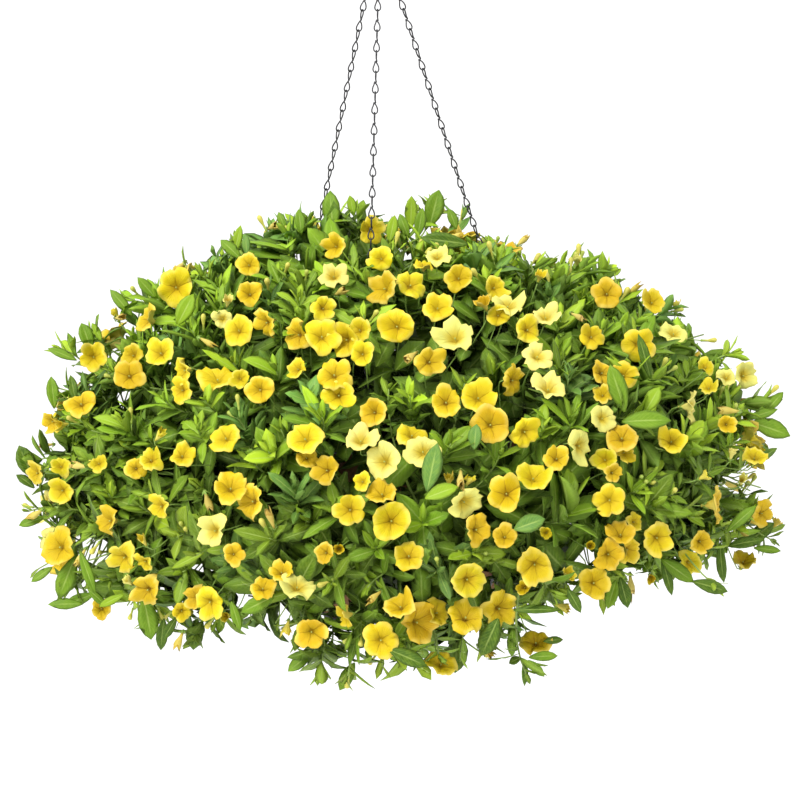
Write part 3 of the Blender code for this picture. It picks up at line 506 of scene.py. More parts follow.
def petalFinish():
    # v is the share of the radius: a dark throat, golden round it, darker seams, which are painted shade
    # in the folds between the lobes, and the petal's own fine veins, both fading outwards, and a paler rim.
    # Past 1 it is the funnel's outside
    m = Shading("petal")
    u, v = m.surface()
    colour, depth = m.tint()
    wander = m.noise(220.0)
    blotch = m.noise(75.0, 2.0)
    lobe = m.math("FRACT", u * 5.0)
    fromSeam = m.math("ABSOLUTE", lobe - 0.5 + (wander - 0.5) * 0.22)
    seam = m.ramp(fromSeam, 0.080, 0.0) * m.ramp(v, 0.98, 0.20)
    fan = m.math("SINE", u * (fullTurn * 40.0) + wander * 5.0)
    veins = m.ramp(fan, 0.2, 1.0) * m.ramp(v, 0.95, 0.20)
    # Painted shade along the seams, the folds between the lobes, together with the petal's own fine veins;
    # both grow with the gold of the throat
    seamShadeAndVeins = (seam * 0.85 + veins * 0.42) * depth
    heart = m.ramp(v + blotch * 0.35, 0.86, 0.34)
    inner = m.ramp(v + blotch * 0.3, 0.85, 0.22) * depth
    throat = m.ramp(v, 0.20, 0.08) * (depth * 0.75)
    rim = m.ramp(v, 0.66, 1.0) * m.ramp(blotch, 0.30, 0.62)
    outside = m.ramp(v, 1.02, 1.35)
    for share, name in ((heart * 0.80, "petalHeart"), (inner * 0.62, "petalInner"),
                        (seamShadeAndVeins * 0.82, "petalSeamShadeAndVein"), (rim * 0.44, "petalRim"),
                        (throat, "petalThroat"), (outside * 0.45, "petalOutside")):
        colour = m.mix(share, colour, finishColours[name])
    m.bump(wander * 0.6 - (seam + veins), 0.0010, 0.7)
    return m.finish(colour, 0.62, Specular_IOR_Level=0.25)


def wireFinish():
    # Black lacquer on steel, worn and dusty in spots
    m = Shading("black wire")
    wear = m.ramp(m.noise(700.0, 4.0), 0.60, 0.78)
    dust = m.noise(120.0)
    colour = m.mix(wear * 0.5, finishColours["lacquer"], finishColours["worn"])
    m.bump(m.noise(900.0), 0.0002, 0.4)
    return m.finish(colour, dust * 0.20 + 0.28, Metallic=0.6)


def fibreFinish():
    # Tint, darker between the strands as painted shade in the gaps, and browner in clumps
    m = Shading("coco fibre")
    colour, _ = m.tint()
    strands = m.noise(520.0, 6.0, 0.7)
    # Painted shade: the tint is darkened where the strands' noise is low, as in the gaps between them
    colour = m.mix(strands, m.mix(1.0, colour, finishColours["fibreGapShade"], "MULTIPLY"), colour)
    colour = m.mix(m.noise(45.0) * 0.5, colour, finishColours["fibreClump"])
    m.bump(strands, 0.002, 0.8)
    return m.finish(colour, 0.93, Specular_IOR_Level=0.2)


def soilFinish():
    # Dark crumbs with bits of bark
    m = Shading("potting soil")
    crumbs = m.noise(330.0, 6.0, 0.65)
    bark = m.ramp(m.noise(160.0), 0.62, 0.70)
    colour = m.mix(crumbs, finishColours["soilDark"], finishColours["soilLight"])
    colour = m.mix(bark, colour, finishColours["soilBark"])
    m.bump(crumbs, 0.003, 0.9)
    return m.finish(colour, 0.97, Specular_IOR_Level=0.2)


leafMaterial = leafFinish()
stemMaterial = stemFinish()
petalMaterial = petalFinish()
wireMaterial = wireFinish()
print("finishes made")


# Places of the blooms

blooms = {
    # How many more are out of the view, on its limb, and again out of it, with their kinds by turns
    "hidden": 112, "limb": 20, "more": 44, "backKinds": "yyggp",
    "swell": 1.01, "radius": (0.008, 0.0180), "hiddenRadius": (0.012, 0.0172), "wander": 0.20,
    # Under how many pixels one is half closed, its least radius, and how much larger than they look
    # the half closed ones and those behind others are
    "smallest": 17, "smallRadius": 0.0075, "smallGrowth": 1.35, "behindGrowth": 1.15,
    # How those that overlap in the view are set one behind the other
    "overlap": 0.80, "layerStep": 0.010, "behindDepth": 0.010, "deepest": 0.036,
    # How the facing leans from the lean read in the photo or, out of view, from the canopy's normal, and
    # how the smallest in front lean from that normal, upward and by chance
    "towardsNormal": 0.25, "lookUp": 0.2, "backWander": (0.3, 0.25), "halfClosed": (0.5, 1.0),
    "smallUpward": 0.5, "smallWander": 0.5,
    # A place faces away where its normal along the view is over outOfView. The limb begins at
    # limbFrom, below and above limbLevel, and lowest is the least upward part of the normal
    "outOfView": 0.05, "limbFrom": (-0.32, -0.12), "limbLevel": 0.04, "lowest": (-0.6, -0.5),
    "nearOutline": 0.30,
    # The shape, in radii: see bloomShells. Waves are times round the rim and height
    "notch": (0.04, 0.20), "cup": (-0.30, 0.28), "pitch": 0.25, "lobeSize": (0.03, 0.080), "oval": 0.06,
    "crinkle": 0.014, "ruffle": 0.100, "waves": ((7.0, 1.0), (11.0, 0.8), (16.0, 0.5)),
    "seamDepth": 0.17, "rimCurl": 0.03, "closedIn": 0.55, "closedUp": 0.75,
    # Share with one lobe bent up (1) or back (-1), and by how much
    "bent": ((0.36, 1.0, (0.30, 0.65)), (0.42, -1.0, (0.25, 0.60))),
    "frontSides": 30, "hiddenSides": 20, "spentSides": 10,
    "rootDepth": 0.045, "chainRoom": 0.009, "chainGap": 0.004, "limbSunk": 0.008,
    "withered": 44,
    "witheredInFront": ((206, 500), (270, 520), (179, 643), (340, 290), (118, 316), (461, 478)),
    # Linear colours of the kinds plain, golden, pale and withered, and how golden their throats are
    "tints": {"y": (0.590, 0.475, 0.004), "g": (0.560, 0.390, 0.003), "p": (0.655, 0.625, 0.150),
              "w": (0.360, 0.235, 0.060)},
    "golds": {"y": 0.50, "g": 0.90, "p": 0.22, "w": 1.0},
    # How these vary from one to the next, and their limits
    "lightness": (0.88, 1.08), "greenness": (0.92, 1.06), "goldScatter": 0.18, "leastGold": 0.1,
    "brightest": 0.98,
    # Places on the outline without blooms: x, y and radius in pixels of the view
    "bare": ((752, 487, 36), (228, 237, 18), (268, 229, 22), (632, 293, 14), (585, 250, 14), (610, 262, 14)),
}

# x and y of the middle, width and height in pixels of the view, and the kind: y bright yellow,
# g golden, p pale lemon, and a capital where other things stand before it
bloomsInFront = (
    (375, 227, 28, 28, "y"), (334, 246, 22, 25, "g"), (333, 274, 29, 20, "p"), (380, 258, 23, 26, "y"),
    (381, 287, 34, 36, "g"), (248, 264, 25, 25, "g"), (250, 293, 25, 25, "g"), (175, 287, 36, 37, "y"),
    (228, 301, 13, 13, "p"), (324, 308, 25, 22, "y"), (146, 318, 23, 28, "g"), (116, 315, 12, 12, "Y"),
    (238, 329, 31, 28, "y"), (263, 324, 19, 31, "g"), (222, 318, 20, 20, "p"), (296, 335, 23, 28, "G"),
    (322, 335, 36, 32, "y"), (344, 340, 20, 30, "Y"), (358, 329, 23, 26, "y"), (362, 354, 26, 26, "y"),
    (93, 357, 28, 28, "y"), (131, 355, 23, 26, "y"), (128, 375, 33, 31, "g"), (159, 352, 26, 31, "y"),
    (181, 371, 26, 28, "y"), (180, 390, 15, 23, "Y"), (296, 368, 13, 20, "Y"), (334, 373, 36, 33, "g"),
    (339, 395, 28, 28, "Y"), (217, 376, 33, 26, "Y"), (240, 378, 18, 18, "Y"), (259, 390, 28, 29, "g"),
    (412, 283, 28, 33, "y"), (437, 255, 24, 22, "p"), (424, 264, 20, 12, "y"), (459, 277, 29, 29, "y"),
    (438, 306, 31, 24, "y"), (496, 287, 24, 26, "y"), (509, 303, 33, 22, "p"), (498, 315, 22, 24, "y"),
    (484, 304, 12, 16, "g"), (546, 315, 28, 19, "p"), (529, 329, 26, 28, "y"), (454, 335, 40, 33, "p"),
    (431, 361, 27, 31, "g"), (396, 326, 33, 33, "Y"), (373, 412, 26, 28, "g"), (539, 354, 33, 29, "p"),
    (549, 386, 36, 24, "p"), (516, 381, 20, 26, "G"), (479, 396, 37, 33, "y"), (446, 401, 33, 33, "g"),
    (491, 424, 38, 38, "g"), (527, 433, 28, 32, "y"), (592, 336, 26, 26, "y"), (361, 438, 34, 24, "p"),
    (303, 437, 38, 36, "y"), (306, 457, 22, 18, "g"), (224, 436, 33, 23, "y"), (413, 433, 31, 28, "y"),
    (422, 450, 36, 33, "p"), (382, 461, 29, 38, "p"), (534, 476, 36, 29, "y"), (557, 457, 25, 28, "g"),
    (583, 447, 15, 36, "p"), (325, 470, 23, 26, "G"), (607, 293, 29, 28, "g"), (653, 301, 26, 24, "y"),
    (676, 306, 12, 12, "y"), (639, 344, 32, 34, "y"), (674, 331, 29, 19, "p"), (540, 276, 12, 12, "y"),
    (577, 261, 12, 10, "p"), (604, 372, 20, 28, "g"), (624, 375, 28, 28, "y"), (602, 394, 18, 16, "g"),
    (706, 366, 20, 18, "y"), (727, 376, 23, 20, "p"), (746, 375, 23, 28, "p"), (709, 386, 20, 12, "y"),
    (695, 407, 19, 33, "p"), (727, 424, 20, 20, "g"), (672, 440, 28, 27, "y"), (604, 418, 26, 27, "p"),
    (622, 436, 33, 26, "g"), (626, 452, 20, 23, "y"), (604, 459, 27, 25, "y"), (614, 473, 15, 18, "g"),
    (755, 455, 28, 14, "y"), (732, 453, 9, 9, "p"), (80, 402, 31, 24, "g"), (50, 423, 20, 23, "g"),
    (62, 425, 10, 12, "Y"), (34, 473, 20, 23, "g"), (60, 465, 18, 14, "Y"), (60, 491, 23, 27, "y"),
    (98, 462, 18, 14, "Y"), (135, 468, 20, 18, "G"), (150, 458, 22, 16, "Y"), (159, 436, 12, 10, "y"),
    (182, 454, 26, 23, "y"), (231, 486, 37, 34, "g"), (249, 501, 20, 31, "G"), (106, 521, 20, 31, "g"),
    (158, 507, 15, 28, "y"), (57, 547, 40, 34, "g"), (121, 560, 31, 33, "y"), (145, 592, 29, 33, "g"),
    (143, 563, 14, 20, "Y"), (128, 581, 12, 12, "p"), (101, 608, 22, 19, "g"), (182, 612, 20, 20, "y"),
    (194, 598, 18, 22, "G"), (208, 604, 33, 33, "y"), (226, 616, 12, 10, "Y"), (212, 531, 25, 33, "p"),
    (233, 554, 22, 22, "g"), (143, 540, 9, 12, "y"), (263, 586, 26, 16, "g"), (281, 570, 26, 16, "g"),
    (298, 584, 38, 37, "p"), (311, 633, 31, 33, "g"), (287, 628, 14, 14, "Y"), (324, 553, 20, 22, "g"),
    (339, 549, 16, 16, "y"), (349, 510, 32, 33, "y"), (361, 481, 16, 18, "y"), (381, 491, 33, 23, "g"),
    (392, 521, 39, 37, "y"), (381, 641, 37, 37, "y"), (343, 616, 14, 22, "Y"), (409, 554, 32, 26, "y"),
    (399, 604, 33, 19, "g"), (421, 623, 33, 38, "G"), (440, 612, 18, 26, "Y"), (467, 614, 40, 24, "g"),
    (469, 581, 33, 37, "y"), (502, 610, 23, 32, "G"), (442, 662, 28, 12, "Y"), (467, 504, 33, 37, "p"),
    (506, 493, 36, 34, "g"), (479, 530, 28, 33, "g"), (505, 536, 26, 26, "g"), (535, 567, 37, 37, "y"),
    (524, 588, 16, 14, "Y"), (536, 640, 35, 26, "g"), (449, 480, 12, 14, "Y"), (470, 480, 12, 12, "Y"),
    (546, 533, 12, 12, "Y"), (610, 500, 33, 33, "y"), (659, 539, 32, 33, "y"), (621, 532, 31, 23, "g"),
    (610, 555, 28, 31, "g"), (630, 551, 23, 28, "g"), (636, 522, 14, 18, "y"), (595, 583, 34, 31, "g"),
    (590, 546, 10, 10, "Y"), (568, 575, 16, 12, "Y"), (691, 564, 23, 26, "y"), (702, 542, 20, 24, "g"),
    (720, 504, 18, 36, "g"), (765, 514, 20, 28, "g"), (777, 522, 10, 14, "g"), (744, 559, 28, 13, "g"),
    (742, 481, 10, 12, "p"), (705, 476, 10, 9, "y"), (563, 607, 16, 8, "Y"), (651, 578, 10, 8, "Y"),
)

# Shoot tips that stand out of the outline: x and y, in pixels of the view
tipsOnOutline = (
    (331, 206), (411, 208), (436, 202), (464, 214), (356, 209), (288, 224), (234, 238), (181, 262),
    (123, 296), (86, 332), (58, 348), (56, 388), (28, 462), (26, 512), (36, 570), (62, 596),
    (84, 540), (150, 628), (192, 640), (318, 676), (346, 684), (440, 662), (527, 676), (490, 642),
    (556, 600), (716, 586), (776, 542), (768, 430), (772, 402), (736, 352), (706, 334), (676, 306),
    (610, 270), (586, 264), (540, 262), (508, 244), (648, 420),
)


def chainEnds(azimuth, aside):
    # Where a chain holds the rim, and where its top hangs in the hook's eye
    bottom = around(azimuth) * basket["rimRadius"]
    return bottom, np.array([aside, 0.0, chains["rise"]])


def nearestOnChains(p):
    # The nearest point to p on the straight lines of the three chains, and how far off it is
    best = np.full(p.shape[:-1], 9.0)
    nearest = np.zeros_like(p)
    for azimuth, aside, _ in chains["lines"].values():
        bottom, top = chainEnds(azimuth, aside)
        span = top - bottom
        share = np.clip(((p - bottom) @ span) / (span @ span), 0.0, 1.0)[..., None]
        q = bottom + share * span
        gap = np.linalg.norm(p - q, axis=-1)
        nearest = np.where((gap < best)[..., None], q, nearest)
        best = np.minimum(best, gap)
    return nearest, best


def depthsApart(x, y, size, behind):
    # How far back each bloom in front is set, so that those that overlap in the view lie one behind
    # the other: the largest first, each at least layerStep behind those it overlaps
    order = np.argsort(-size + 100.0 * behind)
    depth = blooms["behindDepth"] * behind
    for place, k in enumerate(order):
        before = order[:place]
        apart = np.hypot(x[before] - x[k], y[before] - y[k])
        over = before[apart < blooms["overlap"] * (size[before] + size[k])]
        for j in sorted(over, key=lambda j: depth[j]):
            if abs(depth[k] - depth[j]) < blooms["layerStep"]:
                depth[k] = depth[j] + blooms["layerStep"]
    return np.minimum(depth, blooms["deepest"])


def placeBlooms():
    # In front, each lies where its line of sight meets the canopy, leaning as its width and height say.
    # The rest are spaced evenly where the view doesn't reach, and a few stand on the limb of the view
    x, y, width, height = np.array([row[:4] for row in bloomsInFront], float).T
    kinds = np.array([row[4] for row in bloomsInFront])
    point = seenPoints(x, y)
    normal = canopyNormal(azimuthOf(point), turnOf(point))
    lean = np.arccos(np.minimum(width, height) / np.maximum(width, height))[:, None]
    outward = right * np.where(x > view["middlePixel"], 1.0, -1.0)[:, None]
    tip = np.where((height <= width)[:, None], up, outward)
    draws = np.random.default_rng(17)
    facing = -forward * np.cos(lean) + tip * np.sin(lean) + normal * blooms["towardsNormal"]
    facing = unit(facing + draws.normal(0.0, blooms["wander"], (len(x), 3)))
    nearer = (point - eye) @ forward / view["distance"]
    pixels = np.maximum(width, height)
    # The smallest are half closed and seen from one side, and those with a capital stand further in
    small = pixels < blooms["smallest"]
    behind = np.char.isupper(kinds)
    closed = np.where(small, draws.uniform(*blooms["halfClosed"], len(x)), 0.0)
    sideways = normal + skyward * blooms["smallUpward"]
    sideways = unit(sideways + draws.normal(0.0, blooms["smallWander"], normal.shape))
    facing = np.where(small[:, None], sideways, facing)
    radius = pixels * view["metresPerPixel"] * nearer / 2.0 * blooms["swell"]
    radius = radius * np.where(small, blooms["smallGrowth"], np.where(behind, blooms["behindGrowth"], 1.0))
    radius = np.clip(radius, np.where(small, blooms["smallRadius"], blooms["radius"][0]), blooms["radius"][1])

    def outOfView(points, normals):
        hidden = (normals @ forward > blooms["outOfView"]) & (normals[:, 2] > blooms["lowest"][0])
        return hidden & ~inCircles(points, blooms["bare"])

    def onLimb(points, normals):
        away = normals @ forward
        limb = away > np.where(points[:, 2] < blooms["limbLevel"], *blooms["limbFrom"])
        limb = limb & (away < blooms["outOfView"]) & (normals[:, 2] > blooms["lowest"][1])
        return limb & ~inCircles(points, blooms["bare"])

    backPoint, backNormal = spacedSites(blooms["hidden"], point, outOfView, chance)
    backFacing, backRadius = [], []
    for n in backNormal:
        way = n + chance.normal(0.0, blooms["backWander"][0], 3)
        backFacing.append(unit(way + skyward * blooms["lookUp"]))
        backRadius.append(chance.uniform(*blooms["hiddenRadius"]))
    for count, allowed in ((blooms["limb"], onLimb), (blooms["more"], outOfView)):
        more, moreNormal = spacedSites(count, np.concatenate([point, backPoint]), allowed, draws)
        moreFacing = moreNormal + draws.normal(0.0, blooms["backWander"][1], more.shape)
        moreFacing = unit(moreFacing + skyward * blooms["lookUp"])
        backPoint = np.concatenate([backPoint, more])
        backNormal = np.concatenate([backNormal, moreNormal])
        backFacing = np.concatenate([backFacing, moreFacing])
        backRadius = np.concatenate([backRadius, draws.uniform(*blooms["hiddenRadius"], count)])
    sites = np.concatenate([point, backPoint])
    # Those near the outline of the view are sunk, so that it stays as the photo shows it
    sink = blooms["limbSunk"] * (backNormal @ forward < blooms["nearOutline"])[:, None]
    behindEachOther = unit(point - eye) * depthsApart(x, y, pixels / 2.0, behind)[:, None]
    middle = sites + np.concatenate([behindEachOther, -backNormal * sink])
    facing = np.concatenate([facing, backFacing])
    radius = np.concatenate([radius, backRadius])
    backKinds = [blooms["backKinds"][k % len(blooms["backKinds"])] for k in range(len(backPoint))]
    # A bloom that a chain would cross is set back behind it
    nearest, gap = nearestOnChains(middle)
    ahead = dot(middle - nearest, facing) + blooms["chainRoom"]
    middle = middle - facing * np.maximum(ahead, 0.0) * (gap < radius + blooms["chainGap"])[:, None]
    return {
        "site": sites, "middle": middle, "facing": facing, "normal": np.concatenate([normal, backNormal]),
        "radius": radius, "kind": np.char.lower(np.concatenate([kinds, backKinds])),
        "front": np.arange(len(middle)) < len(bloomsInFront),
        "open": np.concatenate([~behind & ~small, np.full(len(backPoint), False)]),
        "closed": np.concatenate([closed, 0.0 * backRadius]),
    }


bloomSites = placeBlooms()
print(len(bloomSites["kind"]), "blooms placed")

# The shapes below have draws of their own, so that one piece can change and leave the rest alone


def bloomShells(sites, profile, sides, tint, draws):
    # A funnel turned about its facing F. The profile gives shares of the radius and heights in radii,
    # from the foot of the tube up its outside, round the rim and down into the throat. The outline is
    # r = 1 + size - notch (1 - |cos 2.5t|^0.5) + oval + crinkle, and z gains rho^2 (cup / 2 + pitch of each
    # lobe + ruffle), less the seams. A closed one is narrower and rises
    n = len(sites["radius"])
    rho, rise = np.array(profile).T
    t = evenTurns(sides)
    off = (t[None] - evenTurns(5)[:, None] + math.pi) % fullTurn - math.pi
    weight = np.where(np.abs(off) < math.pi / 5.0, np.abs(np.cos(2.5 * off)), 0.0)
    pitch = draws.normal(0.0, blooms["pitch"], (n, 5))
    for share, way, amount in blooms["bent"]:
        bent = way * (draws.uniform(0.0, 1.0, n) < share)
        pitch[np.arange(n), draws.integers(0, 5, n)] += bent * draws.uniform(*amount, n)
    pitch = pitch @ weight
    size = draws.normal(*blooms["lobeSize"], (n, 5)) @ weight
    notch = draws.uniform(*blooms["notch"], (n, 1))
    cup = draws.uniform(*blooms["cup"], (n, 1))
    phase = draws.uniform(0.0, fullTurn, (n, 4, 1))
    full = np.abs(np.cos(2.5 * t)) ** 0.5
    outline = 1.0 + size - notch * (1.0 - full) + blooms["oval"] * np.cos(2.0 * t + phase[:, 3])
    outline = outline + blooms["crinkle"] * np.sin(13.0 * t + phase[:, 1])
    waves = [height * np.sin(times * t + phase[:, k]) for k, (times, height) in enumerate(blooms["waves"])]
    ruffle = blooms["ruffle"] * sum(waves)
    share = rho[None, :, None]
    closed = sites["closed"][:, None, None]
    r = share * (1.0 + (outline[:, None] - 1.0) * share ** 2) * (1.0 - blooms["closedIn"] * closed * share)
    z = rise[None, :, None] + share ** 2 * (cup[:, None] * 0.5 + pitch[:, None])
    z = z + blooms["closedUp"] * closed * share + share ** 2 * ruffle[:, None]
    z = z - blooms["seamDepth"] * share * (1.0 - full) - blooms["rimCurl"] * share ** 6
    a, b = squareTo(sites["facing"], draws.uniform(0.0, fullTurn, n))
    radius = sites["radius"][:, None, None, None]
    points = a[:, None, None] * (r * np.cos(t))[..., None] + b[:, None, None] * (r * np.sin(t))[..., None]
    points = points + sites["facing"][:, None, None] * z[..., None]
    points = sites["middle"][:, None, None] + radius * points
    rim = int(np.argmax(rho))
    vs = np.where(np.arange(len(rho)) < rim, 2.0 - rho, rho)
    return shells(points, np.linspace(0.0, 1.0, sides + 1), vs, tint[:, None, None])


# Share of the radius and height in radii, for the blooms in front, the hidden and the withered ones
bloomProfile = (
    (0.07, -1.05), (0.13, -0.80), (0.30, -0.36), (0.80, -0.085), (1.0, -0.035), (0.975, -0.018),
    (0.84, -0.015), (0.62, -0.08), (0.42, -0.18), (0.26, -0.31), (0.15, -0.45), (0.045, -0.51),
)

hiddenProfile = (
    (0.07, -1.05), (0.13, -0.80), (0.30, -0.36), (0.80, -0.085), (1.0, -0.03),
    (0.84, -0.015), (0.50, -0.14), (0.22, -0.35), (0.045, -0.51),
)
spentProfile = (
    (0.10, -1.05), (0.18, -0.55), (0.55, -0.20), (0.85, -0.02), (1.0, 0.04), (0.70, 0.0), (0.30, -0.10),
)


def bloomTints(kinds, draws):
    # The kind's colour, a little lighter or darker and redder or greener; alpha is the gold of the throat
    base = np.array([blooms["tints"][k] for k in kinds])
    gold = np.array([blooms["golds"][k] for k in kinds])
    base = base * draws.uniform(*blooms["lightness"], (len(kinds), 1))
    base[:, 1] *= draws.uniform(*blooms["greenness"], len(kinds))
    gold = np.clip(gold + draws.normal(0.0, blooms["goldScatter"], len(kinds)), blooms["leastGold"], 1.0)
    return np.concatenate([np.clip(base, 0.0, blooms["brightest"]), gold[:, None]], axis=1)


def pick(sites, chosen):
    # The chosen rows of every measure
    return {key: value[chosen] for key, value in sites.items()}


# Leafy shoots

shoots = {
    # Whorls are shoots near the surface, a little larger. On the outline a leaf is tipLeaf x tipLeafShare
    "count": 470, "whorls": 70, "whorlGrowth": 1.12, "tipLeaf": (0.032, 0.040), "tipLeafShare": 0.85,
    "leaves": 14, "lowLeaves": 5, "firstLeaf": 0.0015, "leafStep": 0.0034, "leafLength": (0.026, 0.041),
    "widthShare": (0.24, 0.45), "golden": math.radians(137.5), "upward": 0.62, "spread": 0.26,
    "sunk": (0.006, 0.020), "deepSunk": (0.020, 0.038), "deepShare": 0.30, "tipReach": 0.002,
    "tipOpen": math.radians(16.0), "fullOpen": math.radians(68.0), "stem": (0.0013, 0.0006), "stemRows": 10,
    "rowsTowardsTip": 0.8, "stemWidths": (0.85, 1.15), "stemShades": (0.7, 1.2),
    "clearOfChain": 0.0050, "leaderEvery": 6, "leaderStraight": 0.080, "branchStraight": 0.050,
    "fork": (0.60, 0.84), "tipTowardsNormal": 0.3, "tipHeart": 0.65,
    # How much of upward holds where the canopy stands upright, and the least underneath
    "upwardBelow": (0.6, 0.1),
    # How a shoot's leaves vary: factors for the whole shoot or for each leaf, scatters and shapes
    "stepRange": (0.75, 1.35), "turnScatter": 0.22, "openOver": 3.2, "openRange": (0.75, 1.25),
    "openScatter": 0.13, "leafTilt": 0.22, "lengthRange": (0.82, 1.14), "widthRange": (0.85, 1.18),
    "bend": (0.30, 0.30), "fold": (0.12, 0.55), "twist": 0.30, "wave": 0.045,
    "limeUpTo": 0.34, "bluishFrom": 0.88, "agedOver": 6.0, "lowestLeaf": (0.55, 0.95),
    # A leaf's share of the full length: at the tip, more for each below it, and less from oldFrom on
    "tipShare": 0.40, "shareStep": 0.15, "oldFrom": 9, "oldLoss": 0.008,
}

# Linear leaf colours. blue is a grey-blue green, partly the leaves' own tone and partly painted sheen
greens = {
    "lime": (0.330, 0.460, 0.016), "fresh": (0.225, 0.350, 0.010), "mid": (0.125, 0.232, 0.008),
    "dark": (0.050, 0.108, 0.005), "blue": (0.100, 0.210, 0.036),
}

# How a leaf's green changes. A pair is where a change begins and over how much it runs. The darkening
# with depth and down the stem and the loss low on the mound are painted shade, and light, which brightens
# every leaf, leaves the top painted lighter
greenChange = {
    "ageScatter": 0.22, "paintedShadeDepth": (0.010, 0.024), "paintedShadeOrder": (8.0, 10.0), "paintedShadeHeights": (-0.13, 0.24),
    "light": 1.20, "paintedShadeLoss": 0.44, "shadePerShoot": (0.76, 1.28), "shadePerLeaf": (0.80, 1.22),
}


def placeShoots():
    # Tips on the outline point out of the view's middle, and the rest along the canopy's normal,
    # turned towards the sky, less so underneath. Each has its leaf length, and how far it is sunk below
    # the canopy
    x, y = np.array(tipsOnOutline, float).T
    point = seenPoints(x, y)
    normal = canopyNormal(azimuthOf(point), turnOf(point))
    centre = seenPoints(np.array([view["middlePixel"]]), np.array([view["middlePixel"]]))[0]
    away = point - centre
    outward = unit(right * (away @ right)[:, None] + up * (away @ up)[:, None])
    length = chance.uniform(*shoots["tipLeaf"], len(x)) * shoots["tipLeafShare"]
    tip = point - outward * shoots["tipReach"]
    axis = unit(outward + normal * shoots["tipTowardsNormal"])
    # The other sites keep away from the blooms and from the middle of each tip's leaves
    heart = point - outward * length[:, None] * shoots["tipHeart"]
    others = np.concatenate([bloomSites["site"], heart])

    def anywhere(points, normals):
        return np.full(len(points), True)

    whorls, whorlNormals = spacedSites(shoots["whorls"], others, anywhere, chance)
    draws = np.random.default_rng(29)
    fill, fillNormals = spacedSites(shoots["count"], np.concatenate([others, whorls]), anywhere, draws)
    sites = np.concatenate([whorls, fill])
    normals = np.concatenate([whorlNormals, fillNormals])
    sunk = draws.uniform(*shoots["sunk"], len(sites))
    deep = draws.uniform(0.0, 1.0, len(sites)) < shoots["deepShare"]
    deep[:len(whorls)] = False
    sunk = np.where(deep, draws.uniform(*shoots["deepSunk"], len(sites)), sunk)
    level, least = shoots["upwardBelow"]
    upward = shoots["upward"] * np.clip(level + normals[:, 2:3], least, 1.0)
    axes = unit(normals + skyward * upward + draws.normal(0.0, shoots["spread"], (len(sites), 3)))
    lengths = draws.uniform(*shoots["leafLength"], len(sites))
    lengths[:len(whorls)] *= shoots["whorlGrowth"]
    return {
        "tip": np.concatenate([tip, sites - normals * sunk[:, None]]), "axis": np.concatenate([axis, axes]),
        "length": np.concatenate([length, lengths]), "sunk": np.concatenate([0.0 * x, sunk]),
    }


def plantOf(p):
    # 0, 1 or 2: the plant whose third of the circle, from one chain to the next, holds the point
    azimuth = azimuthOf(p)
    found = np.zeros(p.shape[:-1], int)
    for k, start in enumerate(plantStarts.values()):
        found = np.where((azimuth - start) % 360.0 < 120.0, k, found)
    return found


def crownOf(plants):
    # Where each plant's stems leave the soil
    starts = np.array(list(plantStarts.values())) + 60.0
    return around(starts[plants]) * basket["crownCircle"] + [0.0, 0.0, -basket["soilDrop"]]


def bezier(ends, t):
    # (1-t)^3 P0 + 3 (1-t)^2 t P1 + 3 (1-t) t^2 P2 + t^3 P3, and its direction
    p0, p1, p2, p3 = (p[:, None] for p in ends)
    t = t[..., None]
    s = 1.0 - t
    point = s ** 3 * p0 + 3.0 * s * s * t * p1 + 3.0 * s * t * t * p2 + t ** 3 * p3
    slope = s * s * (p1 - p0) + 2.0 * s * t * (p2 - p1) + t * t * (p3 - p2)
    return point, unit(slope)


# Where a leader bends over the rim: a share of its crown's way from the middle, plus a distance out and
# one up, each for the lowest tips and how much less for the highest. Then how a branch leaves its fork
leaderBend = {
    "inward": 0.6, "out": (0.075, 0.045), "up": (0.150, 0.060), "scatter": 0.010,
    "lowest": -0.10, "heights": 0.28, "forkAhead": 0.030,
}


def stemEnds(sites):
    # A leader runs from its plant's crown, up and over the rim, then out to its tip along its axis.
    # Every other shoot forks from the leader of its plant whose tip is nearest
    draws = np.random.default_rng(31)
    tip, axis = sites["tip"], sites["axis"]
    plants = plantOf(tip)
    crown = crownOf(plants)
    out = unit(tip * [1.0, 1.0, 0.0])
    high = smooth((tip[:, 2:3] - leaderBend["lowest"]) / leaderBend["heights"])
    aside, above = (far - less * high for far, less in (leaderBend["out"], leaderBend["up"]))
    over = crown * [leaderBend["inward"], leaderBend["inward"], 1.0] + out * aside + skyward * above
    over = over + draws.normal(0.0, leaderBend["scatter"], tip.shape)
    leaders = np.stack([crown, over, tip - axis * shoots["leaderStraight"], tip])
    isLeader = np.arange(len(tip)) % shoots["leaderEvery"] == 0
    apart = np.linalg.norm(tip[:, None] - tip[None], axis=2)
    apart = np.where(isLeader[None] & (plants[:, None] == plants[None]), apart, 9.0)
    at = draws.uniform(*shoots["fork"], (len(tip), 1))
    fork, slope = bezier(leaders[:, apart.argmin(axis=1)], at)
    fork, slope = fork[:, 0], slope[:, 0]
    ahead = fork + slope * leaderBend["forkAhead"]
    branches = np.stack([fork, ahead, tip - axis * shoots["branchStraight"], tip])
    return np.where(isLeader[None, :, None], leaders, branches), isLeader


shootSites = placeShoots()
stemCurves, isLeader = stemEnds(shootSites)
print(len(shootSites["length"]), "shoots placed")


def leafSet(**measures):
    # The measures of a group of leaves, one row a leaf. What isn't given is plain: a slight fold,
    # no twist, no wave, kept, and not over blooms
    n = len(measures["length"])
    plain = {"fold": np.full(n, 0.2), "twist": np.zeros(n), "wave": np.zeros(n), "phase": np.zeros(n),
             "kept": np.full(n, True), "over": np.full(n, False)}
    return {**plain, **measures}


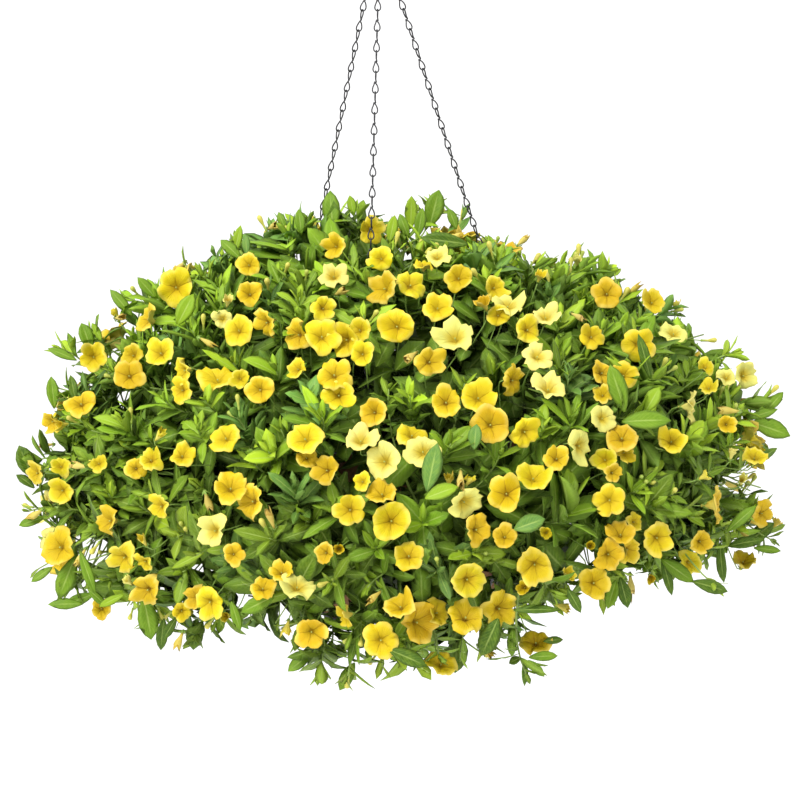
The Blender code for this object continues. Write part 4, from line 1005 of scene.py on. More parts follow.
def shootLeaves():
    # Leaves up each stem at the golden angle: small and steep at the tip, full and open below it,
    # and a few old ones further down
    draws = np.random.default_rng(37)
    # Shapes of a draw for each leaf and of one for each shoot
    each = (len(shootSites["length"]), shoots["leaves"] + shoots["lowLeaves"])
    perShoot = (each[0], 1)
    i = np.arange(each[1])[None]
    straight = np.where(isLeader, shoots["leaderStraight"], shoots["branchStraight"])[:, None]
    reach = shoots["firstLeaf"] + shoots["leafStep"] * i * draws.uniform(*shoots["stepRange"], perShoot)
    reach = reach / (3.0 * straight)
    lowest = np.where(isLeader, *shoots["lowestLeaf"])[:, None]
    start = reach[:, shoots["leaves"] - 1:shoots["leaves"]]
    low = start + (lowest - start) * (i - shoots["leaves"] + 0.7) / shoots["lowLeaves"]
    reach = np.where(i < shoots["leaves"], reach, low)
    foot, tangent = bezier(stemCurves, 1.0 - np.clip(reach, 0.0, 0.97))
    turn = draws.uniform(0.0, fullTurn, perShoot) + shoots["golden"] * i
    turn = turn + draws.normal(0.0, shoots["turnScatter"], each)
    radial, _ = squareTo(tangent, turn)
    opening = 1.0 - np.exp(-(i + 0.4) / shoots["openOver"])
    opening = shoots["tipOpen"] + (shoots["fullOpen"] - shoots["tipOpen"]) * opening
    opening = opening * draws.uniform(*shoots["openRange"], perShoot)
    opening = opening + draws.normal(0.0, shoots["openScatter"], each)
    cos, sin = np.cos(opening)[..., None], np.sin(opening)[..., None]
    share = np.clip(shoots["tipShare"] + shoots["shareStep"] * i, 0.0, 1.0)
    share = share * (1.0 - shoots["oldLoss"] * np.maximum(i - shoots["oldFrom"], 0))
    share = share * draws.uniform(*shoots["lengthRange"], each)
    length = shootSites["length"][:, None] * share
    width = length * draws.uniform(*shoots["widthShare"], perShoot)
    width = width * draws.uniform(*shoots["widthRange"], each)
    measures = {
        "foot": foot, "along": unit(tangent * cos + radial * sin + skyward * shoots["leafTilt"]),
        "face": tangent * sin - radial * cos, "length": length, "width": width,
        "bend": draws.normal(*shoots["bend"], each) * np.clip(share, 0.2, 1.0),
        "fold": draws.uniform(*shoots["fold"], each), "twist": draws.normal(0.0, shoots["twist"], each),
        "wave": draws.uniform(0.0, shoots["wave"], each), "phase": draws.uniform(0.0, fullTurn, each),
        "tint": leafTints(i, draws), "order": np.broadcast_to(i, each),
    }
    return leafSet(**{key: value.reshape((-1,) + value.shape[2:]) for key, value in measures.items()})


def leafTints(i, draws):
    # From lime or fresh at the tip to mid down the stem, with some bluish shoots, whose grey-blue is partly
    # their own tone and partly painted sheen. Painted shade mixes leaves towards dark deep in the mound and
    # far down the stem, and makes them up to a third darker low on the mound, leaving the top painted lighter
    count = len(shootSites["length"])
    kind = draws.uniform(0.0, 1.0, (count, 1, 1))
    # Bluish shoots: their grey-blue green is partly the leaves' own tone and partly painted sheen
    bluish = kind > shoots["bluishFrom"]
    tip = np.where(kind < shoots["limeUpTo"], greens["lime"], greens["fresh"])
    tip = np.where(bluish, greens["blue"], tip)
    low = np.where(bluish, greens["blue"], greens["mid"])
    each = (count, i.shape[1], 1)
    age = (i[..., None] - 1.0) / shoots["agedOver"] + draws.normal(0.0, greenChange["ageScatter"], each)
    age = np.clip(age, 0.0, 1.0)
    colour = tip * (1.0 - age) + low * age
    # Painted shade: leaves on shoots sunk deep in the mound, and those far down a stem, are mixed towards
    # dark green
    fromDepth, overDepth = greenChange["paintedShadeDepth"]
    fromOrder, overOrder = greenChange["paintedShadeOrder"]
    paintedShade = (shootSites["sunk"][:, None, None] - fromDepth) / overDepth
    paintedShade = smooth(paintedShade + (i[..., None] - fromOrder) / overOrder)
    colour = colour * (1.0 - paintedShade) + np.array(greens["dark"]) * paintedShade
    # Painted light and shade: every leaf's green is raised by the light factor, and low on the mound up to
    # 0.44 of it is taken back, so the lower leaves are painted darker and the top ones lighter
    lowest, heights = greenChange["paintedShadeHeights"]
    low = 1.0 - smooth((shootSites["tip"][:, 2] - lowest) / heights)[:, None, None]
    colour = colour * (greenChange["light"] - greenChange["paintedShadeLoss"] * low)
    colour = colour * draws.uniform(*greenChange["shadePerShoot"], (count, 1, 1))
    return opaque(colour * draws.uniform(*greenChange["shadePerLeaf"], each))


# Single large leaves in front: x and y of the middle, length and width in pixels of the view, the
# direction of the tip in degrees from the right, and the green, of which blue is partly painted sheen
largeLeaves = (
    (331, 211, 38, 17, 96, "mid"), (411, 213, 32, 13, 88, "fresh"),
    (445, 241, 44, 15, 172, "dark"), (398, 311, 28, 14, 42, "fresh"), (26, 462, 33, 18, 112, "dark"),
    (87, 337, 28, 15, 105, "mid"), (122, 303, 34, 11, 128, "mid"),
    (80, 533, 40, 24, 225, "dark"), (148, 618, 40, 19, 282, "mid"), (195, 634, 28, 16, 263, "dark"),
    (646, 420, 44, 18, 4, "mid"),
    (680, 340, 34, 13, 12, "mid"), (710, 586, 34, 12, 345, "dark"),
    (407, 657, 36, 15, 338, "dark"), (347, 676, 28, 12, 240, "mid"), (432, 468, 42, 17, 78, "blue"),
    (529, 524, 28, 16, 20, "blue"), (274, 402, 42, 18, 160, "blue"), (312, 360, 42, 16, 85, "dark"),
    (402, 484, 36, 11, 176, "blue"), (441, 492, 30, 14, 22, "fresh"), (475, 437, 22, 12, 86, "blue"),
    (185, 310, 32, 16, 62, "fresh"), (158, 320, 32, 13, 118, "fresh"), (52, 572, 28, 17, 262, "dark"),
    (67, 577, 42, 18, 248, "mid"), (87, 572, 42, 10, 288, "mid"), (66, 604, 32, 11, 180, "mid"),
    (774, 402, 26, 10, 50, "mid"),
    (779, 411, 22, 9, 28, "dark"), (766, 455, 24, 8, 35, "dark"), (757, 469, 30, 7, 4, "mid"),
    (741, 519, 36, 11, 42, "mid"), (760, 533, 32, 14, 38, "dark"),
    (721, 562, 38, 10, 272, "dark"), (677, 570, 36, 14, 325, "mid"),
    (667, 576, 36, 9, 285, "dark"), (652, 400, 26, 14, 60, "fresh"), (179, 261, 22, 8, 98, "dark"),
    (201, 271, 34, 13, 85, "mid"), (237, 240, 28, 9, 80, "fresh"), (231, 249, 26, 12, 135, "mid"),
    (246, 245, 20, 8, 95, "blue"), (258, 246, 20, 8, 75, "dark"), (147, 288, 26, 11, 130, "mid"),
    (162, 272, 20, 9, 60, "mid"), (72, 344, 24, 7, 108, "mid"), (97, 332, 20, 8, 115, "fresh"),
    (63, 354, 30, 9, 155, "mid"), (73, 388, 24, 9, 100, "dark"), (32, 521, 26, 10, 196, "mid"),
    (40, 574, 22, 9, 214, "mid"), (26, 481, 22, 10, 140, "dark"),
    (612, 594, 26, 12, 252, "mid"), (624, 592, 28, 12, 285, "dark"), (420, 223, 28, 11, 80, "mid"),
    (352, 206, 20, 9, 100, "fresh"), (282, 221, 18, 8, 112, "mid"),
    (300, 222, 24, 10, 96, "mid"), (300, 662, 26, 12, 216, "mid"), (530, 664, 30, 12, 262, "mid"),
    (512, 642, 26, 9, 265, "mid"), (170, 628, 24, 9, 238, "dark"),
)

# More, which may also lie over blooms
overBlooms = (
    (645, 357, 42, 10, 104, "dark"), (618, 389, 44, 17, 106, "mid"), (770, 428, 40, 19, 343, "mid"),
    (767, 549, 26, 8, 356, "mid"), (745, 542, 34, 12, 14, "dark"), (53, 393, 31, 12, 95, "mid"),
    (52, 441, 28, 10, 172, "dark"), (97, 597, 24, 8, 318, "mid"), (112, 600, 26, 8, 204, "fresh"),
    (236, 616, 28, 9, 288, "mid"), (258, 604, 32, 14, 205, "mid"), (162, 634, 30, 11, 262, "dark"),
    (168, 606, 26, 12, 280, "dark"), (42, 574, 24, 9, 214, "mid"), (536, 609, 40, 9, 4, "dark"),
    (762, 414, 30, 10, 18, "mid"),
    (505, 652, 34, 9, 262, "mid"), (543, 656, 26, 9, 6, "mid"), (536, 668, 20, 8, 315, "mid"),
    (525, 672, 24, 6, 272, "dark"), (553, 640, 18, 7, 8, "dark"), (515, 660, 12, 8, 200, "dark"),
    (490, 637, 36, 18, 246, "dark"), (434, 209, 38, 19, 76, "mid"), (453, 219, 22, 10, 108, "mid"),
    (80, 599, 30, 11, 200, "mid"), (574, 600, 24, 10, 300, "dark"), (392, 229, 26, 11, 78, "fresh"),
    (404, 226, 24, 10, 112, "mid"),
)

# Where the view passes between the leaves, and notches of the outline: x, y and radius in pixels
openings = (
    (300, 260, 7), (363, 247, 5), (404, 257, 7), (454, 249, 5), (97, 550, 15),
    (583, 556, 10), (727, 482, 10), (245, 599, 8), (248, 615, 5), (132, 291, 7),
    (472, 626, 9), (258, 628, 9), (283, 612, 8), (531, 257, 7), (556, 246, 9), (472, 643, 8), (482, 672, 11),
    (468, 684, 15), (124, 612, 12), (114, 630, 13), (196, 250, 10), (258, 228, 10), (500, 230, 9),
    (518, 234, 9), (536, 246, 9), (703, 332, 14), (718, 342, 9), (750, 480, 14), (766, 470, 10),
    (630, 288, 9), (44, 410, 8), (125, 398, 6), (60, 446, 7), (163, 590, 6),
    (196, 566, 6), (556, 618, 7),
    (644, 580, 7), (30, 546, 6), (50, 597, 6), (275, 641, 8), (500, 671, 8), (57, 372, 7),
)

# How far before the canopy they lie, how they lean out of the view's plane and up, how much larger they
# are than they look, and their shapes
single = {
    "ahead": 0.006, "lean": 0.12, "upward": 0.35, "wander": 0.15, "longer": 1.04, "wider": 1.05,
    "bend": (0.1, 0.5), "fold": (0.12, 0.35), "twist": 0.15, "wave": 0.03, "order": 4,
}


def singleLeaves():
    # Each lies in the plane of the view, a little before the canopy, facing the view and the sky
    draws = np.random.default_rng(41)
    rows = largeLeaves + overBlooms
    x, y, length, width, angle = np.array([row[:5] for row in rows], float).T
    point = seenPoints(x, y)
    n = len(x)
    a = np.radians(angle)[:, None]
    along = right * np.cos(a) + up * np.sin(a)
    length = length * view["metresPerPixel"]
    sight = unit(point - eye)
    return leafSet(
        foot=point - sight * single["ahead"] - along * length[:, None] * 0.5,
        along=unit(along - sight * single["lean"]),
        face=unit(-sight + skyward * single["upward"] + draws.normal(0.0, single["wander"], (n, 3))),
        length=length * single["longer"], width=width * view["metresPerPixel"] * single["wider"],
        bend=draws.uniform(*single["bend"], n), fold=draws.uniform(*single["fold"], n),
        twist=draws.normal(0.0, single["twist"], n), wave=draws.uniform(0.0, single["wave"], n),
        phase=draws.uniform(0.0, 6.0, n), tint=opaque(np.array([greens[row[5]] for row in rows])),
        order=np.full(n, single["order"]), over=np.arange(n) >= len(largeLeaves),
    )


# Leaves in the body of the mound, broad side outwards, so that little is seen through it, painted darker
# the deeper they lie, as shade. Depths are below the canopy, and turns are cosines of the turn from its top
thicket = {"leaves": 3400, "depth": (0.028, 0.150), "length": (0.032, 0.046), "widthShare": (0.40, 0.54),
           "turns": (-0.85, 1.0), "order": 99,
           # How the leaves and their faces lean from the canopy, how much painted shade darkens them with
           # depth, and their shapes
           "leafUp": 0.4, "leafOut": 0.25, "leafWander": 0.25, "faceUp": 0.3, "faceWander": 0.35,
           "paintedShade": 1.6, "paintedShadeScatter": 0.2, "shades": (0.8, 1.25), "bend": (0.35, 0.25),
           "fold": (0.08, 0.4), "twist": 0.3}


def thicketLeaves():
    # Spread evenly over the canopy, at drawn depths, painted darker the deeper, as shade
    draws = np.random.default_rng(43)
    n = thicket["leaves"]
    azimuth = draws.uniform(-180.0, 180.0, n)
    turn = np.degrees(np.arccos(draws.uniform(*thicket["turns"], n)))
    normal = canopyNormal(azimuth, turn)
    share = draws.uniform(0.0, 1.0, (n, 1))
    depth = thicket["depth"][0] + (thicket["depth"][1] - thicket["depth"][0]) * share
    middle = canopyPoint(azimuth, turn) - normal * depth
    along, _ = squareTo(normal, draws.uniform(0.0, fullTurn, n))
    along = along + skyward * thicket["leafUp"] + normal * thicket["leafOut"]
    along = unit(along + draws.normal(0.0, thicket["leafWander"], (n, 3)))
    length = draws.uniform(*thicket["length"], n)
    # Painted shade: mixed from mid towards dark green the deeper the leaf lies
    paintedShade = share * thicket["paintedShade"] + draws.normal(0.0, thicket["paintedShadeScatter"], (n, 1))
    paintedShade = np.clip(paintedShade, 0.0, 1.0)
    colour = np.array(greens["mid"]) * (1.0 - paintedShade) + np.array(greens["dark"]) * paintedShade
    colour = colour * draws.uniform(*thicket["shades"], (n, 1))
    return leafSet(
        foot=middle - along * length[:, None] * 0.5, along=along,
        face=unit(normal + skyward * thicket["faceUp"] + draws.normal(0.0, thicket["faceWander"], (n, 3))),
        length=length, width=length * draws.uniform(*thicket["widthShare"], n),
        bend=draws.normal(*thicket["bend"], n), fold=draws.uniform(*thicket["fold"], n),
        twist=draws.normal(0.0, thicket["twist"], n), tint=opaque(colour),
        order=np.full(n, thicket["order"]),
    )


def leafBlades(leaf, rows, acrossTop, thickness=0.00045):
    # A spine bent in an arc away from its face: forward L sin(bs)/b, back L (1 - cos bs)/b. The half
    # width is W/2 sin(pi s^1.1)^0.8, a little wider at the foot, the two halves are folded up from the
    # midrib, and the edges wave
    s = np.array(rows)[None]
    v = np.concatenate([acrossTop, [0.0]])
    top = np.concatenate([[0.0], np.ones(len(acrossTop) - 2), [0.0, -1.0]])
    face = unit(leaf["face"] - leaf["along"] * dot(leaf["face"], leaf["along"]))
    b = leaf["bend"][:, None]
    b = np.where(np.abs(b) < 0.03, 0.03, b)
    angle = b * s
    cos, sin = np.cos(angle)[..., None], np.sin(angle)[..., None]
    length = leaf["length"][:, None]
    spine = leaf["along"][:, None] * (length * np.sin(angle) / b)[..., None]
    spine = leaf["foot"][:, None] + spine - face[:, None] * (length * (1.0 - np.cos(angle)) / b)[..., None]
    tangent = leaf["along"][:, None] * cos - face[:, None] * sin
    normal = face[:, None] * cos + leaf["along"][:, None] * sin
    side = np.cross(normal, tangent)
    turn = (leaf["twist"][:, None] * s)[..., None]
    side, normal = side * np.cos(turn) + normal * np.sin(turn), normal * np.cos(turn) - side * np.sin(turn)
    half = np.sin(math.pi * np.clip(s, 0.0, 1.0) ** 1.1) ** 0.8 + 0.10 * (1.0 - s) ** 5 + 0.018
    half = (leaf["width"] / 2.0)[:, None] * half
    size = np.abs(v)
    lift = half[..., None] * (leaf["fold"][:, None, None] * (size + 0.35 * size * (1.0 - size)))
    ripple = np.sin(9.0 * s + leaf["phase"][:, None]) * leaf["wave"][:, None] * length
    lift = lift + (ripple * np.sin(math.pi * s) ** 0.5)[..., None] * v * size
    lift = lift + thickness / 2.0 * top * (1.0 - 0.5 * size)
    points = spine[:, :, None] + side[:, :, None] * (half[..., None] * v)[..., None]
    points = points + normal[:, :, None] * lift[..., None]
    tint = np.broadcast_to(leaf["tint"][:, None, None], (len(b), s.shape[1], len(v), 4)).copy()
    tint[..., 3] = np.clip(top + 0.5, 0.0, 1.0)
    us = (np.append(v, v[0]) + 1.0) / 2.0
    return shells(points, us, s[0], tint)


def leafSpots(leaf):
    # Foot, middle and tip of each leaf, and two spots between, on its bent spine
    s = np.array([0.05, 0.3, 0.55, 0.8, 1.0])[None, :, None]
    drop = leaf["bend"][:, None, None] * s * s / 2.0
    return leaf["foot"][:, None] + leaf["length"][:, None, None] * (leaf["along"][:, None] * s
                                                                    - leaf["face"][:, None] * drop)


# Room before a bloom that leaves keep out of: how far ahead, and how wide in shares of its radius. It
# lies along the way the bloom faces, shorter in front for those half closed or behind others, and for
# the rest in front along the line of sight too. Then the gaps round the basket and over its rim
clearing = {
    "ahead": 0.028, "tuckedAhead": 0.004, "width": 0.66, "sightAhead": 0.20, "sightWidth": 0.74,
    "behind": 0.3, "basketGap": 0.004, "rimGap": 0.003,
}


def clearBlooms(leaf):
    # Drops the leaves that stand before a bloom, along the way it faces or along the line of sight,
    # and those that touch a chain or fill an opening
    spots = leafSpots(leaf)
    kept = leaf["kept"] & (nearestOnChains(spots)[1].min(axis=1) > shoots["clearOfChain"])
    for middle, facing, radius, front, isOpen in zip(*(bloomSites[key] for key in (
            "middle", "facing", "radius", "front", "open"))):
        tucked = front and not isOpen
        ways = [(facing, clearing["width"], clearing["tuckedAhead" if tucked else "ahead"])]
        if isOpen:
            ways.append((unit(eye - middle), clearing["sightWidth"], clearing["sightAhead"]))
        for way, share, far in ways:
            d = spots - middle
            ahead = d @ way
            aside = np.linalg.norm(d - ahead[..., None] * way, axis=-1)
            hit = (ahead > -clearing["behind"] * radius) & (ahead < far) & (aside < share * radius)
            kept = kept & (leaf["over"] | ~hit.any(axis=1))
    # None grows through the basket
    share = np.clip(-spots[..., 2] / basket["depth"], 0.0, 1.0)
    gap = clearing["basketGap"]
    inBasket = np.hypot(spots[..., 0], spots[..., 1]) < bowlRadius(share) + gap
    inBasket = inBasket & (spots[..., 2] < clearing["rimGap"]) & (spots[..., 2] > -basket["depth"] - gap)
    return kept & ~inBasket.any(axis=1) & ~inCircles(spots, openings).any(axis=1)


# Where a leaf has its rings, in shares of its length, and its corners, in shares of its half width
fewRows = (0.0, 0.30, 0.70, 1.0)
shortRows = (0.0, 0.22, 0.46, 0.70, 0.88, 1.0)
longRows = (0.0, 0.12, 0.28, 0.46, 0.66, 0.84, 1.0)
plainAcross = (1.0, 0.0, -1.0)
fullAcross = (1.0, 0.5, 0.0, -0.5, -1.0)


def joinLeaves(*groups):
    # One group of leaves from several
    return {key: np.concatenate([g[key] for g in groups]) for key in groups[0]}


def makeLeaves():
    # Three pieces a plant: the full leaves near the tips are finest, those below them simpler, and the
    # smallest, the old ones further down and the thicket plainest
    leaf = joinLeaves(shootLeaves(), singleLeaves(), thicketLeaves())
    leaf["kept"] = clearBlooms(leaf)
    leaf = pick(leaf, leaf["kept"])
    plants = plantOf(leaf["foot"])
    fine = (leaf["order"] >= 3) & (leaf["order"] <= 6)
    plain = (leaf["order"] >= shoots["leaves"]) | (leaf["order"] < 3)
    for k, name in enumerate(plantStarts):
        for kind, chosen, rows, across in (("outer", fine, longRows, fullAcross),
                                           ("inner", ~fine & ~plain, shortRows, plainAcross),
                                           ("plain", plain, fewRows, plainAcross)):
            part = leafBlades(pick(leaf, chosen & (plants == k)), rows, across)
            meshPiece("leaves_" + kind + "_" + name, [part], leafMaterial, ["plant_" + name])
    print(len(plants), "leaves made")


makeLeaves()


# How they hang from the canopy: out, down and by chance, how far sunk, and their sizes
withered = {
    "outward": 0.7, "droop": 0.5, "wander": 0.5, "sunk": 0.002, "radius": (0.0080, 0.0105),
    "closed": (1.15, 1.45), "clearOfBlooms": 0.016, "fresher": 0.7,
}


def placeWithered():
    # Spent blooms, closed and shrunk, that hang a little before the leaves
    draws = np.random.default_rng(59)
    x, y = np.array(blooms["witheredInFront"], float).T
    point = seenPoints(x, y)

    def clear(points, normals):
        gap = np.linalg.norm(points[:, None] - bloomSites["site"][None], axis=2).min(axis=1)
        return gap > withered["clearOfBlooms"]

    more, _ = spacedSites(blooms["withered"] - len(x), point, clear, draws)
    middle = np.concatenate([point, more])
    n = len(middle)
    normal = canopyNormal(azimuthOf(middle), turnOf(middle))
    facing = normal * withered["outward"] - skyward * withered["droop"]
    facing = unit(facing + draws.normal(0.0, withered["wander"], (n, 3)))
    return {
        "site": middle, "middle": middle - normal * withered["sunk"], "facing": facing, "normal": normal,
        "radius": draws.uniform(*withered["radius"], n), "closed": draws.uniform(*withered["closed"], n),
    }


witheredSites = placeWithered()


def makeBlooms():
    # One piece a plant, with its withered blooms, some of which are fresher
    draws = np.random.default_rng(53)
    tints = bloomTints(bloomSites["kind"], draws)
    plants = plantOf(bloomSites["site"])
    spent = bloomTints(["w"] * blooms["withered"], draws)
    fresher = draws.uniform(0.0, withered["fresher"], (blooms["withered"], 1))
    spent[:, :3] = spent[:, :3] * (1.0 - fresher) + np.array(blooms["tints"]["g"]) * fresher
    spentPlants = plantOf(witheredSites["site"])
    for k, name in enumerate(plantStarts):
        old = spentPlants == k
        parts = [bloomShells(pick(witheredSites, old), spentProfile, blooms["spentSides"], spent[old], draws)]
        for front, profile, sides in ((True, bloomProfile, blooms["frontSides"]),
                                      (False, hiddenProfile, blooms["hiddenSides"])):
            chosen = (plants == k) & (bloomSites["front"] == front)
            if chosen.any():
                parts.append(bloomShells(pick(bloomSites, chosen), profile, sides, tints[chosen], draws))
        meshPiece("blooms_" + name, parts, petalMaterial, ["plant_" + name])


makeBlooms()


# Linear colours of what the stem finish covers
stemTints = {
    "stem": np.array([0.260, 0.370, 0.070, 1.0]), "stalk": np.array([0.24, 0.37, 0.07, 1.0]),
    "sepal": np.array([0.24, 0.38, 0.06, 1.0]), "stigma": np.array([0.42, 0.46, 0.10, 1.0]),
    "budGreen": np.array([0.30, 0.42, 0.06, 1.0]), "budYellow": np.array([0.60, 0.53, 0.09, 1.0]),
}

# Rows and radius of a bloom's stalk, and how far it runs straight from its root and into its neck. A
# sepal's below and length are shares of the bloom's radius, and spread is how far it leans out
bloomStalk = {"rows": 6, "radius": 0.0006, "rootAhead": 0.010, "neckAhead": 0.012}
sepal = {"below": 1.06, "aside": 0.0006, "spread": 0.42, "length": 0.55, "width": 0.0022, "thickness": 0.0004}
# Height and radius of the stigma, in shares of the bloom's radius
stigmaProfile = ((-0.52, 0.018), (-0.36, 0.018), (-0.31, 0.052), (-0.25, 0.048), (-0.22, 0.012))


def makeStems():
    # A stem for each shoot and a short stalk for each bloom, with a green cup of five sepals
    draws = np.random.default_rng(61)
    tip = shootSites["tip"]
    t = np.linspace(0.0, 1.0, shoots["stemRows"]) ** shoots["rowsTowardsTip"]
    paths, _ = bezier(stemCurves, np.broadcast_to(t, (len(tip), len(t))))
    guides = unit(np.cross(skyward, tip) + 1e-6)[:, None]
    radii = np.linspace(*shoots["stem"], len(t))[None]
    radii = radii * draws.uniform(*shoots["stemWidths"], (len(tip), 1))
    base = stemTints["stem"] * draws.uniform(*shoots["stemShades"], (len(tip), 1))
    neck = bloomSites["middle"] - bloomSites["facing"] * bloomSites["radius"][:, None]
    root = bloomSites["middle"] - bloomSites["normal"] * blooms["rootDepth"]
    stalkEnds = (root, root + bloomSites["normal"] * bloomStalk["rootAhead"],
                 neck - bloomSites["facing"] * bloomStalk["neckAhead"], neck)
    rows = bloomStalk["rows"]
    stalks, _ = bezier(stalkEnds, np.broadcast_to(np.linspace(0.0, 1.0, rows), (len(neck), rows)))
    stalkGuides = anySide(unit(neck - root))
    for k, name in enumerate(plantStarts):
        s = plantOf(tip) == k
        b = plantOf(bloomSites["site"]) == k
        old = plantOf(witheredSites["site"]) == k
        parts = [
            tubes(paths[s], guides[s], radii[s], 4, base[s][:, None, None]),
            tubes(stalks[b], stalkGuides[b], bloomStalk["radius"], 3, stemTints["stalk"]),
            sepals(pick(bloomSites, b), draws),
            stigmas(pick(bloomSites, b & bloomSites["front"])),
            sepals(pick(witheredSites, old), draws),
        ]
        meshPiece("stems_" + name, parts, stemMaterial, ["plant_" + name])


def sepals(sites, draws):
    # Five narrow blades round the foot of each funnel, spreading a little from it
    count = len(sites["radius"])
    turn = draws.uniform(0.0, 6.0, (count, 1)) + evenTurns(5)[None]
    facing = np.broadcast_to(sites["facing"][:, None], (count, 5, 3))
    radial, _ = squareTo(facing, turn)
    radius = sites["radius"][:, None, None]
    foot = sites["middle"][:, None] - facing * radius * sepal["below"] + radial * sepal["aside"]
    n = count * 5
    leaf = leafSet(
        foot=foot.reshape(n, 3), along=unit(facing + radial * sepal["spread"]).reshape(n, 3),
        face=unit(facing * sepal["spread"] - radial).reshape(n, 3),
        length=np.repeat(sites["radius"] * sepal["length"], 5), width=np.full(n, sepal["width"]),
        bend=np.full(n, 0.5), tint=np.tile(stemTints["sepal"], (n, 1)),
    )
    return leafBlades(leaf, (0.0, 0.45, 1.0), plainAcross, sepal["thickness"])


def stigmas(sites):
    # A pale green knob on a thread, up the middle of each throat
    heights, widths = np.array(stigmaProfile).T
    reach = sites["radius"][:, None, None] * heights[None, :, None]
    paths = sites["middle"][:, None] + sites["facing"][:, None] * reach
    radii = sites["radius"][:, None] * widths
    return tubes(paths, anySide(sites["facing"]), radii, 5, stemTints["stigma"])


makeStems()

# Counts and sizes of the buds, and how far below the shoots' tips they stand
buds = {"count": 190, "length": (0.009, 0.017), "stalk": (0.006, 0.014), "from": (0.006, 0.026), "sides": 6,
        # Which shoots are outer, how a bud leans from its stem, out and up, and how its tip rises
        "sunkUpTo": 0.016, "ahead": 0.75, "aside": 0.55, "upward": 0.15, "rise": 0.12, "stalkRadius": 0.0005,
        # How wide one of no length would be and how much wider the longest is, and where along its stalk
        # the stalk's rings stand
        "swell": (0.55, 0.6), "stalkRows": (-0.1, 0.5, 1.03),
        # How far from green to yellow: what the foot has, the tip of the longest, and where it begins
        "ripeFoot": 0.1, "ripeTip": 1.3, "ripeFrom": 0.1, "ripeOver": 0.5}
# Shares of a bud's length, and the radius in metres there
budProfile = (
    (0.0, 0.0005), (0.06, 0.0012), (0.16, 0.0010), (0.45, 0.0010), (0.68, 0.0019), (0.86, 0.0023),
    (0.96, 0.0015), (1.0, 0.0003),
)


def makeBuds():
    # Closed buds on short stalks near the tips of the outer shoots: a thin green tube that swells
    # into a pale yellow club, which is larger on the longer ones
    draws = np.random.default_rng(67)
    outer = np.flatnonzero(shootSites["sunk"] < buds["sunkUpTo"])
    at = outer[draws.integers(0, len(outer), buds["count"])]
    n = len(at)
    straight = np.where(isLeader[at], shoots["leaderStraight"], shoots["branchStraight"])
    reach = draws.uniform(*buds["from"], n) / (3.0 * straight)
    foot, tangent = bezier(stemCurves[:, at], 1.0 - reach[:, None])
    foot, tangent = foot[:, 0], tangent[:, 0]
    radial, _ = squareTo(tangent, draws.uniform(0.0, fullTurn, n))
    way = unit(tangent * buds["ahead"] + radial * buds["aside"] + skyward * buds["upward"])
    stalk = draws.uniform(*buds["stalk"], (n, 1))
    length = draws.uniform(*buds["length"], (n, 1))
    shortest, longest = buds["length"]
    share, widths = np.array(budProfile).T
    paths = (foot + way * stalk)[:, None] + way[:, None] * (length * share)[..., None]
    paths = paths + skyward * (buds["rise"] * length * share ** 2)[..., None]
    least, more = buds["swell"]
    radii = widths * (least + length / longest * more)
    age = (length - shortest) / (longest - shortest)
    along = smooth((share[None, :, None] - buds["ripeFrom"]) / buds["ripeOver"])
    ripe = np.clip(age[:, None] * buds["ripeTip"] * along + buds["ripeFoot"], 0.0, 1.0)
    tint = (stemTints["budGreen"] * (1.0 - ripe) + stemTints["budYellow"] * ripe)[:, :, None]
    guides = anySide(way)
    stalks = foot[:, None] + way[:, None] * (stalk * np.array(buds["stalkRows"]))[..., None]
    clear = nearestOnChains(paths)[1].min(axis=1) > shoots["clearOfChain"]
    plants = plantOf(shootSites["tip"][at])
    for k, name in enumerate(plantStarts):
        chosen = (plants == k) & clear
        parts = [tubes(paths[chosen], guides[chosen], radii[chosen], buds["sides"], tint[chosen]),
                 tubes(stalks[chosen], guides[chosen], buds["stalkRadius"], 3, stemTints["budGreen"])]
        meshPiece("buds_" + name, parts, stemMaterial, ["plant_" + name])


makeBuds()


# Chains: two pear-shaped loops of one wire make a link, and each loop is a right angle on from the last

# The wire's finish has colours of its own, so this tint isn't seen
wireTint = (0.02, 0.02, 0.02, 1.0)


def linkPath(height, width, steps, wire):
    # Up round the upper pear, through the waist, down round the lower one. On each, height is
    # H (1 - cos f) / 2 and width is W sin f ((1 - cos f) / 2)^pearPower, and near the waist each is set
    # aside by the wire's radius
    f = evenTurns(steps)
    rise = (1.0 - np.cos(f)) / 2.0
    pear = width * np.sin(f) * rise ** chains["pearPower"]
    flat = 0.0 * f
    aside = wire * np.exp(-((rise / chains["waist"]) ** 2))
    upper = np.stack([pear + aside, aside, height * rise], axis=-1)
    lower = np.stack([-aside, -pear - aside, -height * rise], axis=-1)
    # The tube's frame turns from one pear's plane to the other where the wire runs along the chain
    part = chains["frameTurn"]
    early = 0.5 * (1.0 - smooth(f / fullTurn / part))
    late = 0.5 * smooth((f / fullTurn - (1.0 - part)) / part)
    turn = (late - early) * math.pi / 2.0
    guideUpper = np.stack([-np.sin(turn), np.cos(turn), flat], axis=-1)
    guideLower = np.stack([np.cos(turn), np.sin(turn), flat], axis=-1)
    return np.concatenate([upper, lower]), np.concatenate([guideUpper, guideLower])


